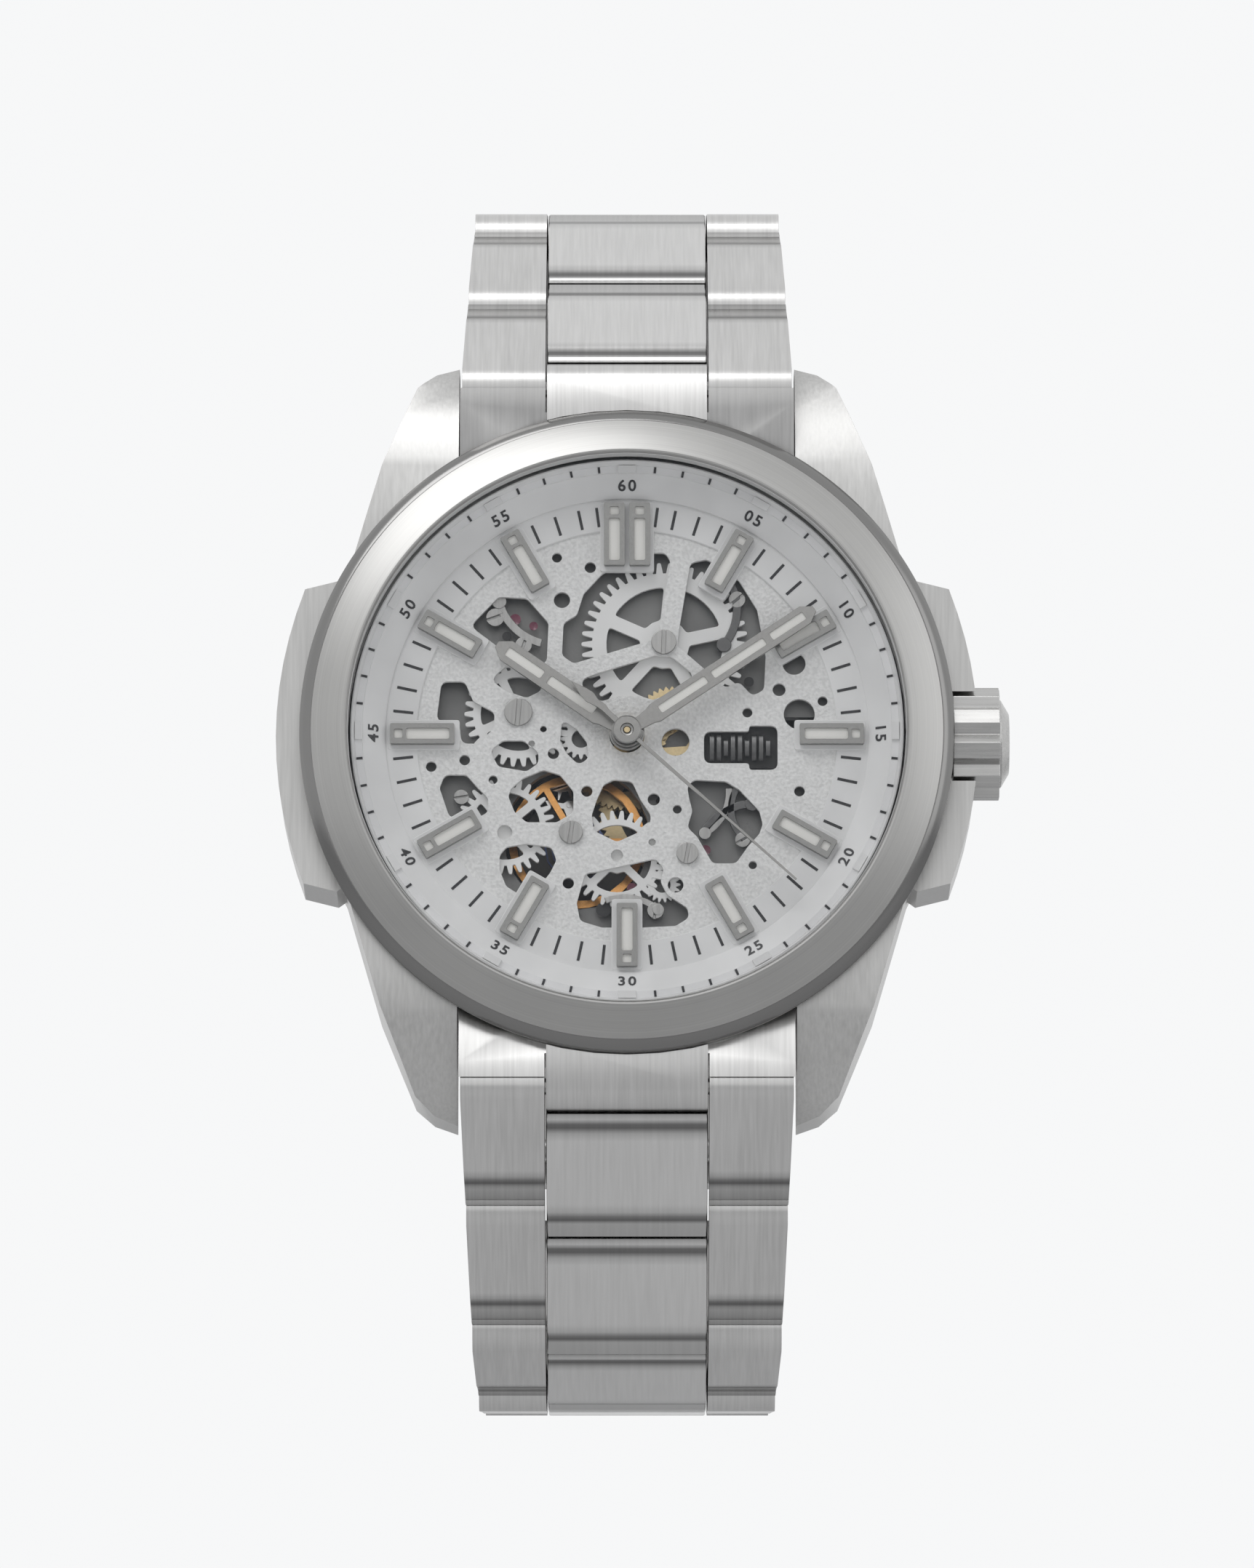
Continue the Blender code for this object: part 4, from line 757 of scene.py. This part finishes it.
# ---- What shows through the windows ------------------------------------------------------------------
PLATE_TOP = watch_box("mainplate")[1].z
PLATE_SCREWS = [(-7.9, 7.3, 0.55, 20), (-6.2, 5.6, 0.5, 70), (-8.6, 5.8, 0.3, 0), (6.6, 8.4, 0.5, 40),
                (7.4, 5.2, 0.45, 110), (6.9, -6.3, 0.45, 30), (1.7, -10.6, 0.5, 80), (-9.9, -3.7, 0.45, 10)]
JEWELS = [(-6.7, 7.2, 0.34), (-5.6, 6.8, 0.26), (5.6, 6.6, 0.3), (4.7, -6.9, 0.3), (0.3, -9.2, 0.3)]
# Where black discs paint the shade of holes in the plate: x, y, radius.
PLATE_HOLES = [
    (-1.4, -10.5, 0.45), (0.1, -10.8, 0.35), (-7.2, 6.2, 0.28), (5.2, 8.7, 0.35), (7.3, 3.4, 0.3),
]
RIBS, RIB_START, RIB_STEP, RIB_WIDTH = 9, 4.95, 0.42, 0.25
STEM_Y = -0.72              # where the ribs of the keyless works lie


def bent_lever(name, x, y, radius, start, end, width, finish=DARK_STEEL):
    """A flat lever bent round a centre, with a round eye at its first end."""
    outer = arc(radius + width / 2, start, end, 14, x, y)
    inner = arc(radius - width / 2, end, start, 14, x, y)
    eye_x = x + radius * math.cos(math.radians(start))
    eye_y = y + radius * math.sin(math.radians(start))
    grid = merged([
        plate_grid([outer + inner], PLATE_TOP + 0.06, PLATE_TOP + 0.3),
        plate_grid([circle(width * 0.9, 24, eye_x, eye_y)], PLATE_TOP + 0.05, PLATE_TOP + 0.34),
    ])
    piece(name, finish_mesh(grid), finish, bevel=0.05, limit=50)


def make_window_view():
    for i, (x, y, radius, angle) in enumerate(PLATE_SCREWS):
        slotted_screw(f"plate_screw_{i + 1}", x, y, radius, PLATE_TOP + 0.02, 0.3, STEEL_SCREW, angle)
    for i, (x, y, radius) in enumerate(JEWELS):
        cup = turned([(0, 0.02), (radius, 0.02), (radius, 0.16), (radius * 0.35, 0.1), (0, 0.1)], 32,
                     Matrix.Translation((x, y, PLATE_TOP)))
        piece(f"plate_jewel_{i + 1}", cup, RUBY)
    # Black discs on the plate stand for its holes: painted shade.
    for i, (x, y, radius) in enumerate(PLATE_HOLES):
        disc = plate([circle(radius, 32, x, y)], PLATE_TOP + 0.01, PLATE_TOP + 0.03)
        piece(f"plate_hole_shade_{i + 1}", disc, BLACK_SHADE)
    bent_lever("setting_lever_spring", 7.6, -7.6, 3.5, 92, 150, 0.5)
    bent_lever("yoke_spring", 3.2, -3.4, 2.9, -60, 5, 0.42, STEEL_SCREW)
    bent_lever("date_lever", 8.6, -4.4, 2.4, 140, 235, 0.45)
    bent_lever("plate_arm_ten", -4.2, 9.2, 3.6, 195, 255, 0.5, STEEL_SCREW)
    bent_lever("plate_arm_one", 3.2, 7.8, 3.4, -40, 25, 0.5)
    bent_lever("plate_arm_six", -0.2, -13.0, 3.2, 50, 110, 0.4, STEEL_SCREW)
    lie = Matrix.Translation((0, STEM_Y, PLATE_TOP + 0.36))
    lie = lie @ Matrix(((0, 0, 1), (1, 0, 0), (0, 1, 0))).to_4x4() @ Matrix.Diagonal((1.6, 0.62, 1, 1))
    for i in range(RIBS):
        reach = 0.32 if i % 3 == 2 else 0.5
        start = RIB_START + RIB_STEP * i
        end = start + RIB_WIDTH
        wheel = turned([(0.12, start), (reach, start), (reach, end), (0.12, end)], 20, lie)
        piece(f"keyless_rib_{i + 1}", wheel, DARK_STEEL)
    # A thin black sheet under the keyless ribs: painted shade.
    shade_sheet_outline = rounded([(4.4, -1.9), (9.2, -1.9), (9.2, 0.8), (4.4, 0.8)], 0.2)
    piece("keyless_shade_sheet", plate([shade_sheet_outline], PLATE_TOP + 0.01, PLATE_TOP + 0.04), BLACK_SHADE)


# ---- Bezel, crystal and case -------------------------------------------------------------------------
def make_bezel():
    low, high = BEZEL_LOW.z, BEZEL_TOP
    inner = GLASS_HIGH.y + 0.06
    seat = inner + 0.3
    shoulder = BEZEL_RADIUS - 0.69
    body = turned([
        (seat, low), (BEZEL_RADIUS - 0.35, low), (BEZEL_RADIUS - 0.12, low + 0.08),
        (BEZEL_RADIUS - 0.02, low + 0.2), (BEZEL_RADIUS, low + 0.45), (BEZEL_RADIUS - 0.04, low + 0.6),
        (shoulder + 0.06, low + 1.12), (shoulder - 0.02, low + 1.17),
        (inner + 0.32, high - 0.04), (inner + 0.2, high - 0.005), (inner + 0.1, high - 0.02),
        (inner, high - 0.12), (inner, high - 0.35), (seat, high - 0.35),
    ], 256, angle=9)
    piece("bezel_ring", body, STEEL_BEZEL, replaces="bezel")
    # The outer chamfer as a darker ring of steel: a painted dark reflection.
    chamfer = turned([
        (BEZEL_RADIUS + 0.005, low + 0.57), (BEZEL_RADIUS - 0.02, low + 0.66),
        (shoulder + 0.07, low + 1.16), (shoulder + 0.0, low + 1.17), (shoulder + 0.05, low + 1.05),
        (BEZEL_RADIUS - 0.1, low + 0.55),
    ], 256)
    piece("bezel_chamfer", chamfer, STEEL_CHAMFER_DARK_REFLECTION)
    top = GLASS_HIGH.z
    glass = turned([
        (0, GLASS_LOW.z), (inner - 0.07, GLASS_LOW.z), (inner - 0.07, top - 0.25),
        (inner - 0.22, top - 0.06), (inner - 0.4, top - 0.02), (0, top - 0.01),
    ], 160)
    piece("crystal_glass", glass, SAPPHIRE, replaces="crystal")
    seal = turned([
        (inner - 0.05, GLASS_LOW.z + 0.1), (seat - 0.04, GLASS_LOW.z + 0.1), (seat - 0.04, high - 0.4),
        (inner - 0.01, high - 0.4), (inner - 0.01, high - 0.14), (inner - 0.05, high - 0.14),
    ], 128)
    piece("crystal_seal", seal, NYLON, replaces="crystal_gasket")


# ---- The bracelet ----------------------------------------------------------------------------------
KNUCKLE, HOLLOW = 1.55, 1.65
SHELL = 1.5                 # half a link's thickness
CENTRE_HALF, SIDE_START = 4.8, 4.9
ACROSS = Matrix(((0, 0, 1, 0), (1, 0, 0, 0), (0, 1, 0, 0), (0, 0, 0, 1)))


def hinge_places(side):
    """Every pin of one half of the bracelet, in the frame, from the case to the clasp."""
    pins = [Vector(JOINTS[f"link_{side}_{i}_hinge"]["pos_m"]) for i in range(1, 7)]
    last = Vector(JOINTS["clasp_hinge"]["pos_m"])
    if side == "6":
        last.z = -last.z
    return pins + [last]


def link_axes(start, end):
    """From a link's own millimetres (x across, y along, z outward) to the frame."""
    along = (end - start).normalized()
    across = Vector((1, 0, 0)) if along.z > 0 or start.z > 0 else Vector((-1, 0, 0))
    outward = across.cross(along)
    turn = Matrix((across, along, outward)).transposed().to_4x4()
    return Matrix.Translation(start) @ turn @ Matrix.Scale(0.001, 4)


def side_profile(pitch):
    """A side piece from the side: knuckle, flat back, crease, and a facet turned down to the seam. The third value
    of each point is painted shade, highest in the crease, then the hollow and the facet.
    """
    spread_angle = math.degrees(math.asin((SHELL - 0.35) / HOLLOW))
    front = [(y, z, 0.0) for y, z in arc(KNUCKLE, 92, 268, 20)]
    hollow = [(y, z, 0.6) for y, z in arc(HOLLOW, 180 + spread_angle, 180 - spread_angle, 14, pitch, 0)]
    facet = [(pitch - 1.42, 0.96, 0.45), (pitch - 2.35, 1.16, 0.3), (pitch - 2.6, 1.22, 0.45)]
    crease = [
        (pitch - 2.85, 1.27, 0.85), (pitch - 3.1, 1.36, 0.7), (pitch - 3.45, 1.49, 0.25),
        (pitch - 3.9, 1.53, 0.0),
    ]
    under = [(pitch * 0.3, -SHELL, 0.0), (pitch * 0.7, -SHELL, 0.0)]
    return front + under + hollow + facet + crease + [(pitch * 0.2, 1.53, 0.0)]


def centre_profile(pitch):
    """A centre piece: a dip behind its front edge, a pillow, a crease, and a facet at the seam. The third value of
    each point is painted shade, highest in the dip and at the facet.
    """
    spread_angle = math.degrees(math.asin((SHELL - 0.3) / HOLLOW))
    hollow = [(y, z, 0.6) for y, z in arc(HOLLOW, spread_angle, -spread_angle, 14)]
    back = [(y, z, 0.35) for y, z in arc(KNUCKLE, -88, 46, 18, pitch, 0)]
    facet = [(pitch + 0.1, 1.22, 0.3), (pitch - 0.2, 1.27, 0.85), (pitch - 0.5, 1.38, 0.7)]
    pillow = [(pitch - 0.9, 1.5, 0.2), (pitch - 1.5, 1.54, 0.0), (pitch * 0.5, 1.57, 0.0)]
    dip = [
        (2.9, 1.54, 0.0), (2.4, 1.47, 0.3), (2.1, 1.32, 0.85), (1.85, 1.3, 0.8), (1.5, 1.34, 0.1),
        (1.3, 1.24, 0.3),
    ]
    under = [(pitch * 0.3, -SHELL, 0.0), (pitch * 0.7, -SHELL, 0.0)]
    return hollow + under + back + facet + pillow + dip


def cross_piece(profile, low, high, to_frame, taper=0.0, pitch=1.0):
    """A profile of (along, outward, crease) points, given a width across and narrowed by the taper. The crease
    value, painted shade, is stored on each vertex.
    """
    grid = plate_grid([[(y, z) for y, z, _ in profile]], low, high)
    bmesh.ops.transform(grid, verts=grid.verts, matrix=ACROSS)
    outer = max(abs(low), abs(high))
    painted_shade_layer = grid.verts.layers.float.new("crease")
    for v in grid.verts:
        v[painted_shade_layer] = min(profile, key=lambda p: (p[0] - v.co.y) ** 2 + (p[1] - v.co.z) ** 2)[2]
        if abs(v.co.x) > outer - 0.01:
            v.co.x -= math.copysign(taper * min(1, max(0, v.co.y / pitch)), v.co.x)
    return finish_mesh(grid, 30, to_frame)


def make_links():
    for side in ("12", "6"):
        pins = hinge_places(side)
        widths = [NODES[f"link_{side}_{i}"].dimensions.x * 1000 for i in range(1, 7)]
        widths.append(NODES["clasp_cover"].dimensions.x * 1000)
        for i in range(6):
            name = f"link_{side}_{i + 1}"
            to_frame = link_axes(pins[i], pins[i + 1])
            pitch = (pins[i + 1] - pins[i]).length * 1000
            taper = min(0.3, (widths[i] - widths[i + 1]) / 2)
            half = widths[i] / 2
            for label, low, high in (("right", SIDE_START, half), ("left", -half, -SIDE_START)):
                mesh = cross_piece(side_profile(pitch), low, high, to_frame, taper, pitch)
                piece(f"{name}_{label}", mesh, STEEL_LINK, name, name,
                      bevel=0.4, segments=1, limit=60)
            mesh = cross_piece(centre_profile(pitch), -CENTRE_HALF, CENTRE_HALF, to_frame)
            piece(f"{name}_centre", mesh, STEEL_CENTRE, name, bevel=0.16,
                  segments=2, limit=60)


# ---- Everything that keeps its CAD shape, with its edges rounded ---------------------------------------
FINISHES = {
    "mid_case": (STEEL_FRONT, 0.22), "crown": (STEEL_CROWN, 0.16), "crown_tube": (STEEL_SCREW, 0.05),
    "end_link_12": (STEEL_LINK, 0.14), "end_link_6": (STEEL_LINK, 0.14), "clasp_cover": (STEEL_LINK, 0.12),
    "clasp_blade_outer": (STEEL_LINK, 0.08), "clasp_blade_inner": (STEEL_LINK, 0.08),
    "clasp_button_left": (STEEL_SCREW, 0.08), "clasp_button_right": (STEEL_SCREW, 0.08),
    "caseback_ring": (STEEL_BACK, 0.1), "caseback_glass": (SAPPHIRE, 0.05), "rotor": (BLASTED, 0.05),
    "rotor_bearing": (STEEL_POLISHED, 0.05), "mainplate": (BLASTED, 0.05), "train_bridge": (DARK_PLATE, 0.05),
    "barrel_bridge": (BLASTED, 0.05),
    "balance_cock": (DARK_PLATE, 0.05), "movement_ring": (DARK_STEEL, 0.0),
    "barrel_arbor": (STEEL_POLISHED, 0.03),
    "ratchet_wheel": (DARK_STEEL, 0.02), "crown_wheel": (DARK_STEEL, 0.02),
    "escape_wheel": (STEEL_POLISHED, 0.0),
    "pallet_fork": (STEEL_POLISHED, 0.02), "cannon_pinion": (STEEL_POLISHED, 0.0),
    "winding_stem": (DARK_STEEL, 0.02),
    "winding_pinion": (STEEL_SCREW, 0.02), "clutch_wheel": (STEEL_SCREW, 0.02),
    "mainspring_barrel": (BRASS, 0.02), "centre_wheel": (BRASS, 0.0), "third_wheel": (BRASS, 0.0),
    "fourth_wheel": (BRASS, 0.0), "hour_wheel": (BRASS, 0.0), "minute_wheel": (BRASS, 0.0),
    "balance_wheel": (COPPER, 0.04), "hairspring": (BLUED, 0.0),
}


def finish_cad():
    for node, (finish, bevel) in FINISHES.items():
        refined(node, finish, bevel)


# ---- Light, floor and camera -----------------------------------------------------------------------
def area_light(name, place, aim, size, power, tint=(1, 1, 1)):
    lamp = bpy.data.lights.new(name, "AREA")
    lamp.shape = "RECTANGLE"
    lamp.size, lamp.size_y = size
    lamp.energy = power
    lamp.color = tint
    obj = bpy.data.objects.new(name, lamp)
    obj.location = place
    obj.rotation_euler = (Vector(aim) - Vector(place)).to_track_quat("-Z", "Y").to_euler()
    bpy.context.scene.collection.objects.link(obj)


def make_stage():
    floor = bpy.data.meshes.new("floor")
    floor.from_pydata([(-3, -3, 0), (3, -3, 0), (3, 3, 0), (-3, 3, 0)], [], [(0, 1, 2, 3)])
    ground = bpy.data.objects.new("floor", floor)
    ground.location = (0, 0, -0.30)
    floor.materials.append(grained("pale_floor", (0.9, 0.9, 0.9), 0.6, scale=60.0, depth=1e-4, tone=0.01))
    bpy.context.scene.collection.objects.link(ground)
    area_light("key_softbox", (-0.30, -0.55, 0.70), (0, 0, 0), (0.7, 0.5), 3.1)
    area_light("right_softbox", (0.80, -0.50, 0.25), (0, 0, 0), (0.5, 0.8), 0.9)
    area_light("low_softbox", (0.0, -0.60, -0.60), (0, 0, 0), (0.8, 0.3), 0.4)


def make_world():
    """One pale background for the camera, metal and glass alike. The rest gets a soft plain level."""
    world = bpy.data.worlds.new("studio")
    bpy.context.scene.world = world
    world.use_nodes = True
    nodes, links = world.node_tree.nodes, world.node_tree.links
    nodes.clear()
    out = nodes.new("ShaderNodeOutputWorld")
    rays = nodes.new("ShaderNodeLightPath")
    seen = rays.outputs["Is Camera Ray"]
    for kind in ("Is Glossy Ray", "Is Transmission Ray"):
        either = nodes.new("ShaderNodeMath")
        either.operation = "MAXIMUM"
        links.new(seen, either.inputs[0])
        links.new(rays.outputs[kind], either.inputs[1])
        seen = either.outputs["Value"]
    soft, pale = nodes.new("ShaderNodeBackground"), nodes.new("ShaderNodeBackground")
    soft.inputs["Color"].default_value = (0.97, 0.98, 1.0, 1)
    soft.inputs["Strength"].default_value = 0.42
    pale.inputs["Color"].default_value = (0.93, 0.935, 0.94, 1)
    mix = nodes.new("ShaderNodeMixShader")
    links.new(seen, mix.inputs["Fac"])
    links.new(soft.outputs[0], mix.inputs[1])
    links.new(pale.outputs[0], mix.inputs[2])
    links.new(mix.outputs[0], out.inputs["Surface"])


def make_camera():
    """At the photographed angle: in front of the dial and a little below its normal."""
    tilt = math.radians(12)
    hub = Vector((0, -0.010, 0))
    distance = 0.7
    lens = bpy.data.cameras.new("camera")
    camera = bpy.data.objects.new("camera", lens)
    camera.location = hub + distance * Vector((0, -math.cos(tilt), -math.sin(tilt)))
    camera.rotation_euler = (hub - camera.location).to_track_quat("-Z", "Y").to_euler()
    lens.sensor_width = 36
    lens.lens = 269.7
    lens.shift_y = -0.0364
    lens.clip_start = 0.01
    lens.clip_end = 20
    bpy.context.scene.collection.objects.link(camera)
    bpy.context.scene.camera = camera


make_field()
make_dial_gears()
make_dial_screws()
make_indices()
make_rehaut()
make_numerals()
make_hands()
make_window_view()
make_bezel()
make_links()
finish_cad()
make_stage()
make_world()
make_camera()
bpy.context.scene.view_settings.view_transform = "Standard"
